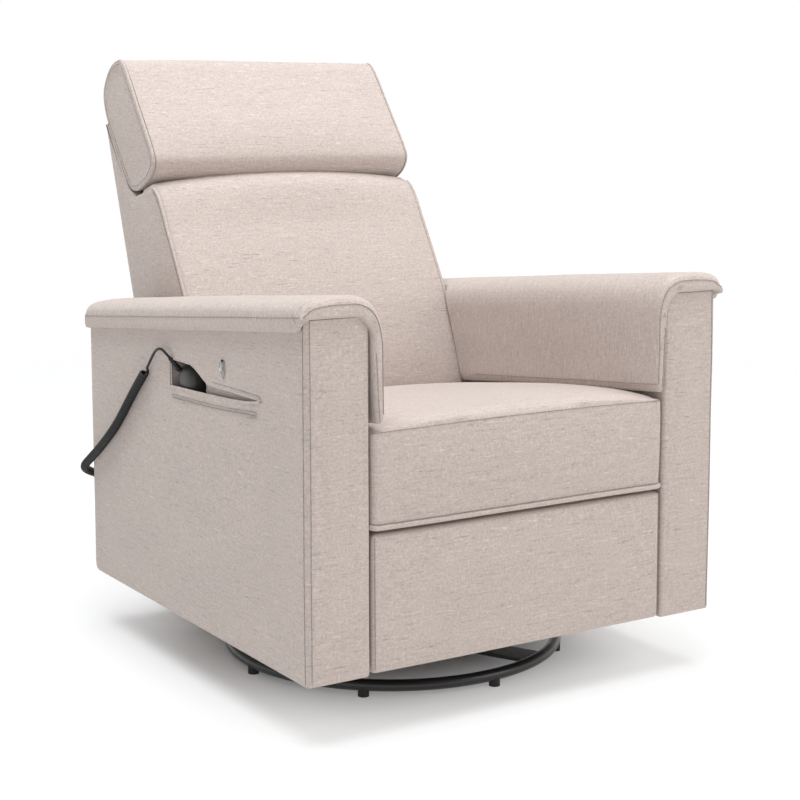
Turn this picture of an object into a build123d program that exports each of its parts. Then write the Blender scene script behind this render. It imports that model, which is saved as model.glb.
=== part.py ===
from build123d import *

import math
import os

# Power recliner glider armchair on a round swivel base. Millimetres.
# X runs across the chair, the front faces -Y, Z is up, and the floor is Z = 0.
# The origin is on the floor under the middle of the chair's outer box.

# ---------------------------------------------------------------- driving dimensions
CHAIR_WIDTH = 760.0          # over the arm side panels
ARM_WIDTH = 105.0            # one arm, from its inner to its outer face
BODY_DEPTH = 787.0           # front to rear of an arm
FRONT_Y = -481.0             # the arms' front face
BOTTOM_Z = 94.0              # lower edge of the upholstered body
ARM_TOP_FRONT_Z = 614.0      # top of an arm's side panel at the front
ARM_TOP_REAR_Z = 538.0       # and at the rear
BOARD = 18.0                 # upholstered board panels
INNER_BOARD = 15.0
SKIN_GAP = 0.2               # between neighbouring panels of one body

REAR_Y = FRONT_Y + BODY_DEPTH
ARM_OUTER_X = CHAIR_WIDTH / 2
ARM_INNER_X = ARM_OUTER_X - ARM_WIDTH
ARM_SLOPE = (ARM_TOP_FRONT_Z - ARM_TOP_REAR_Z) / BODY_DEPTH

PAD_THICK = 42.0
PAD_OVERHANG = 12.0
PAD_LIP = 6.0                # how far the overhang hangs below the pad's underside
PAD_LEAF_DROP = 147.0        # inner leaf, from the pad's underside down
PAD_LEAF_THICK = 19.0
PAD_FRONT_Y = FRONT_Y - 8
PAD_REAR_Y = REAR_Y - 5
PAD_SHOULDER_R = 46.0        # round from the pad's top into the inner leaf

SEAT_HALF = 271.0
SEAT_BOTTOM_Z = 309.0
SEAT_REAR_Y = 57.0
SEAT_SEAM_Z = 457.0          # side seam of the seat cushion at the front
SEAT_RAKE = 0.1033
SEAT_CROWN = 14.0

RECLINE_Y = 119.0            # recline pivot
RECLINE_Z = 330.0
RECLINE_PIN_R = 8.0
RUNNING = 0.05               # radial clearance of a pin in its hole

BACK_HALF = 268.0
BACK_SIDE = 18.0             # side panel of the back
BACK_REAR_BOTTOM_Z = 300.0
BACK_REAR_LEAN = 0.3522      # rear plane: rise in Y per mm of Z
BACK_REAR_Y = 271.0          # rear plane at Z = 300

BASE_Y = -101.0              # swivel axis
RING_R = 280.0               # centre line of the floor ring
RING_TUBE_R = 9.5
RING_Z = 18.0
BASE_TURN = 26.0             # angle of the base's crossbars as the chair stands, degrees
CROSSBAR_WIDTH = 50.0
CROSSBAR_Z = 16.0
CROSSBAR_THICK = 6.0

SWIVEL_POST_R = 16.0
SWIVEL_PLATE_TOP = 26.0
TURNTABLE_Z = 33.0
TURNTABLE_TOP = 38.0

STAND_X = 140.0              # inner face of an upright
LINK_X = 150.0
RAIL_X = 160.0
PLATE = 6.0
GLIDE_SPAN = 110.0           # glide pivots in front of and behind the swivel axis
GLIDE_TOP_Z = 270.0
GLIDE_LINK = 160.0
GLIDE_PIN_R = 8.0
GLIDE_LOW_Z = GLIDE_TOP_Z - GLIDE_LINK

FOOT_HALF = 271.0
FOOT_THICK = 40.0
FOOT_TOP_Z = 304.0
FOOT_BOTTOM_Z = 96.0
THIGH_Y = -403.0             # footrest pivots, folded
THIGH_Z = 252.0
THIGH_LENGTH = 135.0
THIGH_TILT = 5.0             # degrees behind plumb
KNEE_Y = THIGH_Y + THIGH_LENGTH * math.sin(math.radians(THIGH_TILT))
KNEE_Z = THIGH_Z - THIGH_LENGTH * math.cos(math.radians(THIGH_TILT))
ANKLE_Y = -428.0
ANKLE_Z = 262.0
LINK_HALF = 10.0
THIGH_X = 232.0              # inner faces of the three plates of the folding linkage
SHIN_X = 224.0
BRACKET_X = 216.0
HANGER_X = 240.0
FOOT_PIN_R = 6.0

CROSS_TUBE = 30.0            # square tube
TUBE_WALL = 2.0
FRONT_TUBE_Y = -300.0
REAR_TUBE_Y = 110.0
LOW_RAIL_Z = 95.0

MOTOR = (70.0, 70.0, 70.0)
TRACK = 24.0
TRACK_Z = 162.0

POCKET_Y = (-359.0, -33.0)   # pocket bag, front and rear
POCKET_Z = (357.0, 535.0)
POCKET_DEPTH = 52.0
POCKET_WALL = 3.0

HANDSET_AT = (-357.0, -77.5, 436.0)
HANDSET_LEAN = 6.0
HANDSET_SIZE = (57.0, 148.0, 31.0)
BUTTON = (13.0, 9.0, 3.2)
BUTTON_FACE = 16.8           # height of a button's face over the handset's mid plane
BUTTON_GAP = 0.3

LEAD_R = 2.25
COIL_R = 7.75
LEAD_ROUTE = [
    (-385.4, -43.7, 520.0),
    (-390.2, -37.0, 528.5),
    (-391.5, -23.0, 533.5),
    (-392.0, -6.0, 529.0),
    (-392.0, 10.0, 515.5),
    (-392.0, 25.0, 500.0),
    (-392.0, 40.0, 486.5),
]
COIL_ROUTE = [
    (-392.0, 40.0, 486.5),
    (-392.0, 92.0, 443.0),
    (-392.0, 161.0, 379.0),
    (-392.0, 238.0, 327.0),
    (-392.0, 290.0, 297.0),
    (-392.0, 314.0, 282.0),
    (-380.0, 331.0, 270.0),
    (-352.0, 331.0, 258.0),
]
TAIL_ROUTE = [
    (-352.0, 331.0, 258.0),
    (-338.0, 331.0, 252.0),
    (-325.0, 322.0, 247.5),
    (-322.0, 309.0, 246.5),
]
BEND_SHARE = 0.45            # part of the shorter run that an arc takes up
RELIEF_LENGTH = 26.0
GLAND_R = 9.0
GLAND_FLANGE = 3.0
GLAND_SHANK_R = 5.5

SIDES = (-1, 1)
os.makedirs("parts", exist_ok=True)


# ---------------------------------------------------------------- helpers
def save(builder, name):
    """Label a finished piece and write its STEP file."""
    builder.part.label = name
    export_step(builder.part, f"parts/{name}.step")


def arm_top(y):
    """Height of an arm's side panel at y."""
    return ARM_TOP_FRONT_Z - ARM_SLOPE * (y - FRONT_Y)


def back_rear(z):
    """Y of the back's rear plane at height z."""
    return BACK_REAR_Y + BACK_REAR_LEAN * (z - BACK_REAR_BOTTOM_Z)


def side_plane(side, x):
    """A YZ sketch plane at distance x on one side, facing away from the middle."""
    if side > 0:
        return Plane(origin=(x, 0, 0), x_dir=(0, 1, 0), z_dir=(1, 0, 0))
    return Plane(origin=(-x, 0, 0), x_dir=(0, -1, 0), z_dir=(-1, 0, 0))


def on_side(side, y, z):
    """Sketch coordinates of the point (y, z) on that side's plane."""
    return (y * side, z)


def slab(side, x, thickness, outline, mode=Mode.ADD):
    """A flat board parallel to the YZ plane, from x outwards."""
    with BuildSketch(side_plane(side, x)) as board:
        with BuildLine():
            Polyline(*[on_side(side, y, z) for y, z in outline], close=True)
        make_face()
    extrude(board.sketch, amount=thickness, mode=mode)


def block(low, high):
    """A box between two corners."""
    size = [b - a for a, b in zip(low, high)]
    middle = [(a + b) / 2 for a, b in zip(low, high)]
    with Locations(tuple(middle)):
        Box(*size)


def link_plate(side, x, start, end, half, thickness):
    """A flat link with round ends between two pivots."""
    along = math.degrees(math.atan2(end[1] - start[1], (end[0] - start[0]) * side))
    middle = on_side(side, (start[0] + end[0]) / 2, (start[1] + end[1]) / 2)
    span = math.dist(start, end)
    with BuildSketch(side_plane(side, x)) as link:
        with Locations(middle):
            SlotCenterToCenter(span, 2 * half, rotation=along)
    extrude(link.sketch, amount=thickness)


def cross_pin(side, x, y, z, radius, length, mode=Mode.ADD):
    """A round pin or hole along X, from x outwards."""
    with BuildSketch(side_plane(side, x)) as disc:
        with Locations(on_side(side, y, z)):
            Circle(radius)
    extrude(disc.sketch, amount=length, mode=mode)


def bend_radii(points):
    """The largest even bend at each corner of a cord's route."""
    radii = []
    for before, corner, after in zip(points, points[1:], points[2:]):
        run_in = Vector(*corner) - Vector(*before)
        run_out = Vector(*after) - Vector(*corner)
        half_turn = math.radians(run_in.get_angle(run_out)) / 2
        radii.append(BEND_SHARE * min(run_in.length, run_out.length) / math.tan(half_turn))
    return radii


def cord_tube(points, radius):
    """A round tube along straight runs joined by tangent arcs."""
    radii = bend_radii(points)
    with BuildLine():
        route = FilletPolyline(*points, radius=radii)
    with BuildSketch(Plane(origin=route @ 0, z_dir=route % 0)) as section:
        Circle(radius)
    sweep(section.sketch, path=route)
    length = route.length
    print(f"cord: length {length:.1f}, section volume {math.pi * radius ** 2 * length:.0f}")
    print("  radii", [round(r, 1) for r in radii])
    return length


# ---------------------------------------------------------------- base
with BuildPart() as base_ring:
    with BuildSketch(Plane(origin=(0, BASE_Y, 0), x_dir=(1, 0, 0), z_dir=(0, -1, 0))):
        with Locations((RING_R, RING_Z)):
            Circle(RING_TUBE_R)
    revolve(axis=Axis((0, BASE_Y, 0), (0, 0, 1)))
save(base_ring, "base_ring")

with BuildPart() as base_crossbars:
    with BuildSketch(Plane.XY.offset(CROSSBAR_Z)):
        with Locations((0, BASE_Y)):
            Rectangle(2 * RING_R, CROSSBAR_WIDTH, rotation=BASE_TURN)
            Rectangle(2 * RING_R, CROSSBAR_WIDTH, rotation=BASE_TURN + 90)
    extrude(amount=CROSSBAR_THICK)
    add(base_ring.part, mode=Mode.SUBTRACT)
    with BuildSketch(Plane.XY.offset(0)):
        with Locations((0, BASE_Y)):
            Circle(RING_R)
    extrude(amount=2 * RING_Z, mode=Mode.INTERSECT)
save(base_crossbars, "base_crossbars")

with BuildPart() as base_feet:
    with BuildSketch(Plane.XY):
        with Locations((0, BASE_Y)):
            with PolarLocations(RING_R, 8, start_angle=BASE_TURN + 22.5):
                Circle(9)
    extrude(amount=RING_Z - 4)
    add(base_ring.part, mode=Mode.SUBTRACT)
save(base_feet, "base_feet")

with BuildPart() as swivel_lower_plate:
    with BuildSketch(Plane.XY.offset(CROSSBAR_Z + CROSSBAR_THICK)):
        with Locations((0, BASE_Y)):
            Circle(88)
    extrude(amount=SWIVEL_PLATE_TOP - CROSSBAR_Z - CROSSBAR_THICK)
    with BuildSketch(Plane.XY.offset(SWIVEL_PLATE_TOP)):
        with Locations((0, BASE_Y)):
            Circle(SWIVEL_POST_R)
    extrude(amount=36)
save(swivel_lower_plate, "swivel_lower_plate")

BALL_R = (TURNTABLE_Z - SWIVEL_PLATE_TOP) / 2 - RUNNING
with BuildPart() as bearing_balls:
    with Locations((0, BASE_Y, (TURNTABLE_Z + SWIVEL_PLATE_TOP) / 2)):
        with PolarLocations(66, 14):
            Sphere(BALL_R)
save(bearing_balls, "bearing_balls")

with BuildPart() as swivel_retainer:
    with BuildSketch(Plane.XY.offset(62)):
        with Locations((0, BASE_Y)):
            Circle(24)
    extrude(amount=4)
    with BuildSketch(Plane.XY.offset(66)):
        with Locations((0, BASE_Y)):
            RegularPolygon(13, 6)
    extrude(amount=9)
save(swivel_retainer, "swivel_retainer")

# ---------------------------------------------------------------- turntable and glide links
with BuildPart() as swivel_upper_plate:
    with BuildSketch(Plane.XY.offset(TURNTABLE_Z)):
        with Locations((0, BASE_Y)):
            RectangleRounded(300, 190, 14)
    extrude(amount=TURNTABLE_TOP - TURNTABLE_Z)
    with BuildSketch(Plane.XY.offset(TURNTABLE_TOP)):
        with Locations((0, BASE_Y)):
            Circle(27)
    extrude(amount=61.8 - TURNTABLE_TOP)
    with BuildSketch(Plane.XY.offset(TURNTABLE_Z)):
        with Locations((0, BASE_Y)):
            Circle(SWIVEL_POST_R + RUNNING)
    extrude(amount=40, mode=Mode.SUBTRACT)
save(swivel_upper_plate, "swivel_upper_plate")

UPRIGHT = [
    (BASE_Y - 85, TURNTABLE_TOP),
    (BASE_Y + 85, TURNTABLE_TOP),
    (BASE_Y + GLIDE_SPAN + 20, GLIDE_TOP_Z - 22),
    (BASE_Y + GLIDE_SPAN + 20, GLIDE_TOP_Z + 15),
    (BASE_Y - GLIDE_SPAN - 20, GLIDE_TOP_Z + 15),
    (BASE_Y - GLIDE_SPAN - 20, GLIDE_TOP_Z - 22),
]
with BuildPart() as stand_uprights:
    for side in SIDES:
        slab(side, STAND_X, PLATE, UPRIGHT)
        for y in (BASE_Y - GLIDE_SPAN, BASE_Y + GLIDE_SPAN):
            cross_pin(side, STAND_X + PLATE, y, GLIDE_TOP_Z, GLIDE_PIN_R, 12)
save(stand_uprights, "stand_uprights")

with BuildPart() as stand_crossbrace:
    with BuildSketch(Plane.YZ.offset(-STAND_X)):
        with Locations((BASE_Y, GLIDE_TOP_Z - 20)):
            Circle(11)
            Circle(8.5, mode=Mode.SUBTRACT)
    extrude(amount=2 * STAND_X)
save(stand_crossbrace, "stand_crossbrace")


def glide_links(y):
    """The pair of swing links at y."""
    for side in SIDES:
        link_plate(side, LINK_X, (y, GLIDE_TOP_Z), (y, GLIDE_LOW_Z), 15, PLATE)
        for z in (GLIDE_TOP_Z, GLIDE_LOW_Z):
            cross_pin(side, LINK_X, y, z, GLIDE_PIN_R + RUNNING, PLATE, Mode.SUBTRACT)


with BuildPart() as front_glide_links:
    glide_links(BASE_Y - GLIDE_SPAN)
save(front_glide_links, "front_glide_links")

with BuildPart() as rear_glide_links:
    glide_links(BASE_Y + GLIDE_SPAN)
save(rear_glide_links, "rear_glide_links")

# ---------------------------------------------------------------- seat frame
HALF_TUBE = CROSS_TUBE / 2
with BuildPart() as glide_rails:
    for side in SIDES:
        rail = [
            (FRONT_TUBE_Y + HALF_TUBE, LOW_RAIL_Z),
            (REAR_TUBE_Y - HALF_TUBE, LOW_RAIL_Z),
            (REAR_TUBE_Y - HALF_TUBE, LOW_RAIL_Z + CROSS_TUBE),
            (FRONT_TUBE_Y + HALF_TUBE, LOW_RAIL_Z + CROSS_TUBE),
        ]
        slab(side, RAIL_X, PLATE, rail)
        for y in (BASE_Y - GLIDE_SPAN, BASE_Y + GLIDE_SPAN):
            cross_pin(side, LINK_X - 1, y, GLIDE_LOW_Z, GLIDE_PIN_R, RAIL_X - LINK_X + 1)
save(glide_rails, "glide_rails")

with BuildPart() as lower_cross_tubes:
    for y in (FRONT_TUBE_Y, REAR_TUBE_Y):
        block(
            (-ARM_INNER_X + SKIN_GAP, y - HALF_TUBE, LOW_RAIL_Z),
            (ARM_INNER_X - SKIN_GAP, y + HALF_TUBE, LOW_RAIL_Z + CROSS_TUBE),
        )
        with Locations((0, y, LOW_RAIL_Z + HALF_TUBE)):
            bore = CROSS_TUBE - 2 * TUBE_WALL
            Box(2 * ARM_INNER_X, bore, bore, mode=Mode.SUBTRACT)
save(lower_cross_tubes, "lower_cross_tubes")

SEAT_RAIL_LOW = 262.0
SEAT_RAIL_TOP = 302.0
REAR_RAIL_LOW = GLIDE_TOP_Z + 19     # clears the stand's uprights as the seat glides
SIDE_RAIL_X = 256.0
with BuildPart() as seat_side_rails:
    for side in SIDES:
        rail = [(-436, SEAT_RAIL_LOW), (60, SEAT_RAIL_LOW), (60, SEAT_RAIL_TOP), (-436, SEAT_RAIL_TOP)]
        slab(side, SIDE_RAIL_X, ARM_INNER_X - SKIN_GAP - SIDE_RAIL_X, rail)
save(seat_side_rails, "seat_side_rails")

with BuildPart() as seat_front_rail:
    block((-SIDE_RAIL_X + SKIN_GAP, -436, 284), (SIDE_RAIL_X - SKIN_GAP, -414, SEAT_RAIL_TOP))
save(seat_front_rail, "seat_front_rail")

with BuildPart() as seat_rear_rail:
    block((-SIDE_RAIL_X + SKIN_GAP, 38, REAR_RAIL_LOW), (SIDE_RAIL_X - SKIN_GAP, 60, SEAT_RAIL_TOP))
save(seat_rear_rail, "seat_rear_rail")

SPRING_WIRE_R = 1.9
SPRING_TURNS = 22
SPRING_HALF = 24.0
with BuildPart() as seat_springs:
    for x in (-180, -60, 60, 180):
        pitch = (48 + 425) / SPRING_TURNS
        zigzag = [(x, -425, SEAT_RAIL_TOP + 2)]
        for turn in range(SPRING_TURNS):
            swing = SPRING_HALF if turn % 2 else -SPRING_HALF
            zigzag.append((x + swing, -425 + pitch * (turn + 0.5), SEAT_RAIL_TOP + 2))
        zigzag.append((x, 48, SEAT_RAIL_TOP + 2))
        with BuildLine() as spring_path:
            FilletPolyline(*zigzag, radius=7)
        with BuildSketch(Plane(origin=spring_path.line @ 0, z_dir=spring_path.line % 0)):
            Circle(SPRING_WIRE_R)
        sweep(path=spring_path.line)
save(seat_springs, "seat_springs")

SEAT_TOP = [
    (FRONT_Y - 1.5, SEAT_BOTTOM_Z),
    (FRONT_Y - 1.5, SEAT_SEAM_Z),
    (FRONT_Y + 22, SEAT_SEAM_Z + 11),
    (FRONT_Y + 120, SEAT_SEAM_Z + 12),
    (FRONT_Y + 252, 460),
    (FRONT_Y + 493, 427),
    (SEAT_REAR_Y, 418),
    (SEAT_REAR_Y, SEAT_BOTTOM_Z),
]
with BuildPart() as seat_cushion:
    slab(1, -SEAT_HALF, 2 * SEAT_HALF, SEAT_TOP)
    crown_edge = SEAT_HALF - 26
    with BuildSketch(Plane(origin=(0, FRONT_Y - 10, 0), x_dir=(1, 0, 0), z_dir=(0, -1, 0))):
        with BuildLine():
            Polyline(
                (-SEAT_HALF, 100),
                (SEAT_HALF, 100),
                (SEAT_HALF, SEAT_SEAM_Z - 1),
                (crown_edge, SEAT_SEAM_Z + SEAT_CROWN),
                (-crown_edge, SEAT_SEAM_Z + SEAT_CROWN),
                (-SEAT_HALF, SEAT_SEAM_Z - 1),
                close=True,
            )
        make_face()
    extrude(amount=600, dir=(0, 1, -SEAT_RAKE), mode=Mode.INTERSECT)
save(seat_cushion, "seat_cushion")


# ---------------------------------------------------------------- arms
def arm_side_outline(drop=0.0):
    """YZ outline of an arm side panel between its front and rear panels."""
    front = FRONT_Y + BOARD + SKIN_GAP
    rear = REAR_Y - BOARD - SKIN_GAP
    return [
        (front, BOTTOM_Z),
        (rear, BOTTOM_Z),
        (rear, arm_top(rear) - drop),
        (front, arm_top(front) - drop),
    ]


POCKET_WINDOW = [
    (POCKET_Y[0], POCKET_Z[0]),
    (POCKET_Y[1], POCKET_Z[0]),
    (POCKET_Y[1], POCKET_Z[1]),
    (POCKET_Y[0], POCKET_Z[1]),
]
with BuildPart() as left_arm_outer_panel:
    slab(-1, ARM_OUTER_X - BOARD, BOARD, arm_side_outline(SKIN_GAP))
    slab(-1, ARM_OUTER_X - BOARD - 1, BOARD + 2, POCKET_WINDOW, Mode.SUBTRACT)
save(left_arm_outer_panel, "left_arm_outer_panel")

with BuildPart() as right_arm_outer_panel:
    slab(1, ARM_OUTER_X - BOARD, BOARD, arm_side_outline(SKIN_GAP))
save(right_arm_outer_panel, "right_arm_outer_panel")

with BuildPart() as arm_inner_panels:
    for side in SIDES:
        slab(side, ARM_INNER_X, INNER_BOARD, arm_side_outline(SKIN_GAP))
save(arm_inner_panels, "arm_inner_panels")


def arm_end_panel(side, y, top):
    """An upright board across one arm, from y rearwards."""
    inner = min(side * ARM_INNER_X, side * ARM_OUTER_X)
    block((inner, y, BOTTOM_Z), (inner + ARM_WIDTH, y + BOARD, top))


with BuildPart() as arm_front_panels:
    for side in SIDES:
        arm_end_panel(side, FRONT_Y, arm_top(FRONT_Y + BOARD) - SKIN_GAP)
save(arm_front_panels, "arm_front_panels")

with BuildPart() as cord_gland:
    rear_face = Plane(origin=(-322, REAR_Y, 246.5), x_dir=(-1, 0, 0), z_dir=(0, 1, 0))
    with BuildSketch(rear_face):
        Circle(GLAND_R)
    extrude(amount=GLAND_FLANGE)
    with BuildSketch(rear_face.offset(-BOARD - 4)):
        Circle(GLAND_SHANK_R)
    extrude(amount=BOARD + 4)
save(cord_gland, "cord_gland")

with BuildPart() as arm_rear_panels:
    for side in SIDES:
        arm_end_panel(side, REAR_Y - BOARD, arm_top(REAR_Y) - SKIN_GAP)
    add(cord_gland.part, mode=Mode.SUBTRACT)
save(arm_rear_panels, "arm_rear_panels")

BACK_CLEAR = [
    (60, 380),
    (62, 412),
    (108, 532),
    (136, 588),
    (195, 688),
    (215, 720),
    (420, 720),
    (420, 380),
]


def arm_pad(side):
    """Padded armrest: a thick top that rolls over into an inner leaf, cut clear of the back."""
    top = arm_top(PAD_FRONT_Y) + PAD_THICK
    under = arm_top(PAD_FRONT_Y)
    leaf = ARM_INNER_X - PAD_LEAF_THICK
    outer = ARM_OUTER_X + PAD_OVERHANG
    front = Plane(origin=(0, PAD_FRONT_Y, 0), x_dir=(side, 0, 0), z_dir=(0, -side, 0))
    with BuildSketch(front) as section:
        with BuildLine():
            Polyline(
                (leaf, top - PAD_SHOULDER_R),
                (leaf, under - PAD_LEAF_DROP),
                (ARM_INNER_X - SKIN_GAP, under - PAD_LEAF_DROP),
                (ARM_INNER_X - SKIN_GAP, under),
                (ARM_OUTER_X + SKIN_GAP, under),
                (ARM_OUTER_X + SKIN_GAP, under - PAD_LIP),
                (outer, under - PAD_LIP),
                (outer, top - 14),
            )
            RadiusArc((outer, top - 14), (outer - 14, top), -14)
            Line((outer - 14, top), (leaf + PAD_SHOULDER_R, top))
            RadiusArc((leaf + PAD_SHOULDER_R, top), (leaf, top - PAD_SHOULDER_R), -PAD_SHOULDER_R)
        make_face()
    length = PAD_REAR_Y - PAD_FRONT_Y
    slant = Vector(0, 1, -ARM_SLOPE)
    extrude(section.sketch, amount=length * slant.length, dir=slant)
    slab(side, 230, ARM_INNER_X - 2 - 230, BACK_CLEAR, Mode.SUBTRACT)


with BuildPart() as left_arm_pad:
    arm_pad(-1)
save(left_arm_pad, "left_arm_pad")

with BuildPart() as right_arm_pad:
    arm_pad(1)
save(right_arm_pad, "right_arm_pad")

# ---------------------------------------------------------------- side pocket and its hook
MOUTH = [
    (POCKET_Y[0] + 8, 482),
    (POCKET_Y[1] - 4, 471),
    (POCKET_Y[1] - 4, 526),
    (POCKET_Y[1] - 36, 526),
    (POCKET_Y[1] - 44, 512),
    (POCKET_Y[0] + 8, 504),
]
with BuildPart() as pocket_bag:
    outer = -ARM_OUTER_X
    gap = SKIN_GAP
    block(
        (outer, POCKET_Y[0] + gap, POCKET_Z[0] + gap),
        (outer + POCKET_DEPTH, POCKET_Y[1] - gap, POCKET_Z[1] - gap),
    )
    with Locations(
        (
            outer + POCKET_DEPTH / 2,
            sum(POCKET_Y) / 2,
            sum(POCKET_Z) / 2,
        )
    ):
        Box(
            POCKET_DEPTH - 2 * POCKET_WALL,
            POCKET_Y[1] - POCKET_Y[0] - 2 * POCKET_WALL,
            POCKET_Z[1] - POCKET_Z[0] - 2 * POCKET_WALL,
            mode=Mode.SUBTRACT,
        )
    slab(-1, ARM_OUTER_X - POCKET_WALL - 1, POCKET_WALL + 2, MOUTH, Mode.SUBTRACT)
save(pocket_bag, "pocket_bag")

HOOK_Y = -228.0
HOOK_Z = 524.0
with BuildPart() as side_hook:
    with BuildSketch(side_plane(-1, ARM_OUTER_X)):
        with Locations(on_side(-1, HOOK_Y, HOOK_Z)):
            SlotOverall(30, 14, rotation=90)
    extrude(amount=2.5)
    with BuildSketch(side_plane(-1, ARM_OUTER_X + 2.5)):
        with Locations(on_side(-1, HOOK_Y, HOOK_Z + 6)):
            Circle(4.5)
    extrude(amount=4)
    with BuildSketch(side_plane(-1, ARM_OUTER_X + 6.5)):
        with Locations(on_side(-1, HOOK_Y, HOOK_Z + 3)):
            SlotOverall(17, 9, rotation=90)
    extrude(amount=2)
save(side_hook, "side_hook")

# ---------------------------------------------------------------- rear of the seat
INLET_FACE = Plane(origin=(170, REAR_Y, 160), x_dir=(-1, 0, 0), z_dir=(0, 1, 0))
with BuildPart() as power_inlet:
    with BuildSketch(INLET_FACE):
        RectangleRounded(30, 24, 4)
    extrude(amount=2.5)
    with BuildSketch(INLET_FACE.offset(-30)):
        RectangleRounded(22, 16, 2)
    extrude(amount=30)
    with BuildSketch(INLET_FACE.offset(-12)):
        Circle(5.2)
        Circle(1.3, mode=Mode.SUBTRACT)
    extrude(amount=20, mode=Mode.SUBTRACT)
save(power_inlet, "power_inlet")

REAR_PANEL_TOP = 262.0
with BuildPart() as rear_lower_panel:
    block(
        (-ARM_INNER_X + SKIN_GAP, REAR_Y - BOARD, BOTTOM_Z),
        (ARM_INNER_X - SKIN_GAP, REAR_Y, REAR_PANEL_TOP),
    )
    with BuildSketch(INLET_FACE.offset(-30)):
        RectangleRounded(22, 16, 2)
    extrude(amount=40, mode=Mode.SUBTRACT)
save(rear_lower_panel, "rear_lower_panel")

# ---------------------------------------------------------------- footrest
with BuildPart() as footrest_hangers:
    for side in SIDES:
        plate = [
            (THIGH_Y - 18, THIGH_Z - 18),
            (THIGH_Y + 18, THIGH_Z - 18),
            (THIGH_Y + 18, SEAT_RAIL_TOP),
            (THIGH_Y - 10, SEAT_RAIL_TOP),
            (THIGH_Y - 10, 282),
            (THIGH_Y - 18, 276),
        ]
        slab(side, HANGER_X, PLATE, plate)
        flange = [(THIGH_Y - 8, 290), (THIGH_Y + 18, 290), (THIGH_Y + 18, 300), (THIGH_Y - 8, 300)]
        slab(side, HANGER_X + PLATE, SIDE_RAIL_X - HANGER_X - PLATE, flange)
        cross_pin(side, HANGER_X, THIGH_Y, THIGH_Z, FOOT_PIN_R + RUNNING, PLATE, Mode.SUBTRACT)
save(footrest_hangers, "footrest_hangers")

with BuildPart() as thigh_links:
    for side in SIDES:
        link_plate(side, THIGH_X, (THIGH_Y, THIGH_Z), (KNEE_Y, KNEE_Z), LINK_HALF, PLATE)
        cross_pin(side, THIGH_X + PLATE, THIGH_Y, THIGH_Z, FOOT_PIN_R, PLATE + 4)
        cross_pin(side, THIGH_X, KNEE_Y, KNEE_Z, FOOT_PIN_R + RUNNING, PLATE, Mode.SUBTRACT)
save(thigh_links, "thigh_links")

with BuildPart() as footrest_torque_tube:
    with BuildSketch(Plane.YZ.offset(-THIGH_X)):
        with Locations((THIGH_Y, THIGH_Z)):
            Circle(8)
            Circle(5.5, mode=Mode.SUBTRACT)
    extrude(amount=2 * THIGH_X)
save(footrest_torque_tube, "footrest_torque_tube")

with BuildPart() as shin_links:
    for side in SIDES:
        link_plate(side, SHIN_X, (KNEE_Y, KNEE_Z), (ANKLE_Y, ANKLE_Z), LINK_HALF, PLATE)
        cross_pin(side, SHIN_X + PLATE, KNEE_Y, KNEE_Z, FOOT_PIN_R, PLATE + 3)
        cross_pin(side, SHIN_X, ANKLE_Y, ANKLE_Z, FOOT_PIN_R + RUNNING, PLATE, Mode.SUBTRACT)
save(shin_links, "shin_links")

FOOT_BACK_Y = FRONT_Y + FOOT_THICK
with BuildPart() as footrest_brackets:
    for side in SIDES:
        ear = [
            (FOOT_BACK_Y, ANKLE_Z - 20),
            (ANKLE_Y + 9, ANKLE_Z - 9),
            (ANKLE_Y + 9, ANKLE_Z + 9),
            (FOOT_BACK_Y, ANKLE_Z + 16),
        ]
        slab(side, BRACKET_X, PLATE, ear)
        foot = [
            (FOOT_BACK_Y, 180),
            (FOOT_BACK_Y + 3, 180),
            (FOOT_BACK_Y + 3, ANKLE_Z + 16),
            (FOOT_BACK_Y, ANKLE_Z + 16),
        ]
        slab(side, BRACKET_X - 24, 24, foot)
        cross_pin(side, BRACKET_X + PLATE, ANKLE_Y, ANKLE_Z, FOOT_PIN_R, PLATE + 3)
save(footrest_brackets, "footrest_brackets")

with BuildPart() as footrest_panel:
    block((-FOOT_HALF, FRONT_Y, FOOT_BOTTOM_Z), (FOOT_HALF, FOOT_BACK_Y, FOOT_TOP_Z))
    fillet(footrest_panel.edges().filter_by(Axis.X).group_by(Axis.Y)[0], radius=7)
save(footrest_panel, "footrest_panel")


# ---------------------------------------------------------------- actuators
def actuator(tube_y, reach):
    """A motor standing on a cross tube, with its square track running to reach."""
    width, depth, height = MOTOR
    base = LOW_RAIL_Z + CROSS_TUBE
    block((-width / 2, tube_y - depth / 2, base), (width / 2, tube_y + depth / 2, base + height))
    near = tube_y + depth / 2
    block((-TRACK / 2, near, TRACK_Z - TRACK / 2), (TRACK / 2, reach, TRACK_Z + TRACK / 2))


def drive_nut(y):
    """A sleeve that rides on a square track, with a lug on top."""
    block((-21, y - 16, TRACK_Z - 21), (21, y + 16, TRACK_Z + 21))
    block((-5, y - 12, TRACK_Z + 21), (5, y + 12, TRACK_Z + 42))
    bore = TRACK / 2 + RUNNING
    with Locations((0, y, TRACK_Z)):
        Box(2 * bore, 40, 2 * bore, mode=Mode.SUBTRACT)


FOOT_NUT_Y = -130.0
RECLINE_NUT_Y = 170.0
with BuildPart() as footrest_motor:
    actuator(FRONT_TUBE_Y, -100)
save(footrest_motor, "footrest_motor")

with BuildPart() as recline_motor:
    actuator(REAR_TUBE_Y, 266)
save(recline_motor, "recline_motor")

with BuildPart() as footrest_drive_nut:
    drive_nut(FOOT_NUT_Y)
save(footrest_drive_nut, "footrest_drive_nut")

with BuildPart() as recline_drive_nut:
    drive_nut(RECLINE_NUT_Y)
save(recline_drive_nut, "recline_drive_nut")

with BuildPart() as control_box:
    block((175, 80, LOW_RAIL_Z + CROSS_TUBE), (255, 140, 165))
    fillet(control_box.edges().filter_by(Axis.Z), radius=4)
save(control_box, "control_box")

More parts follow.
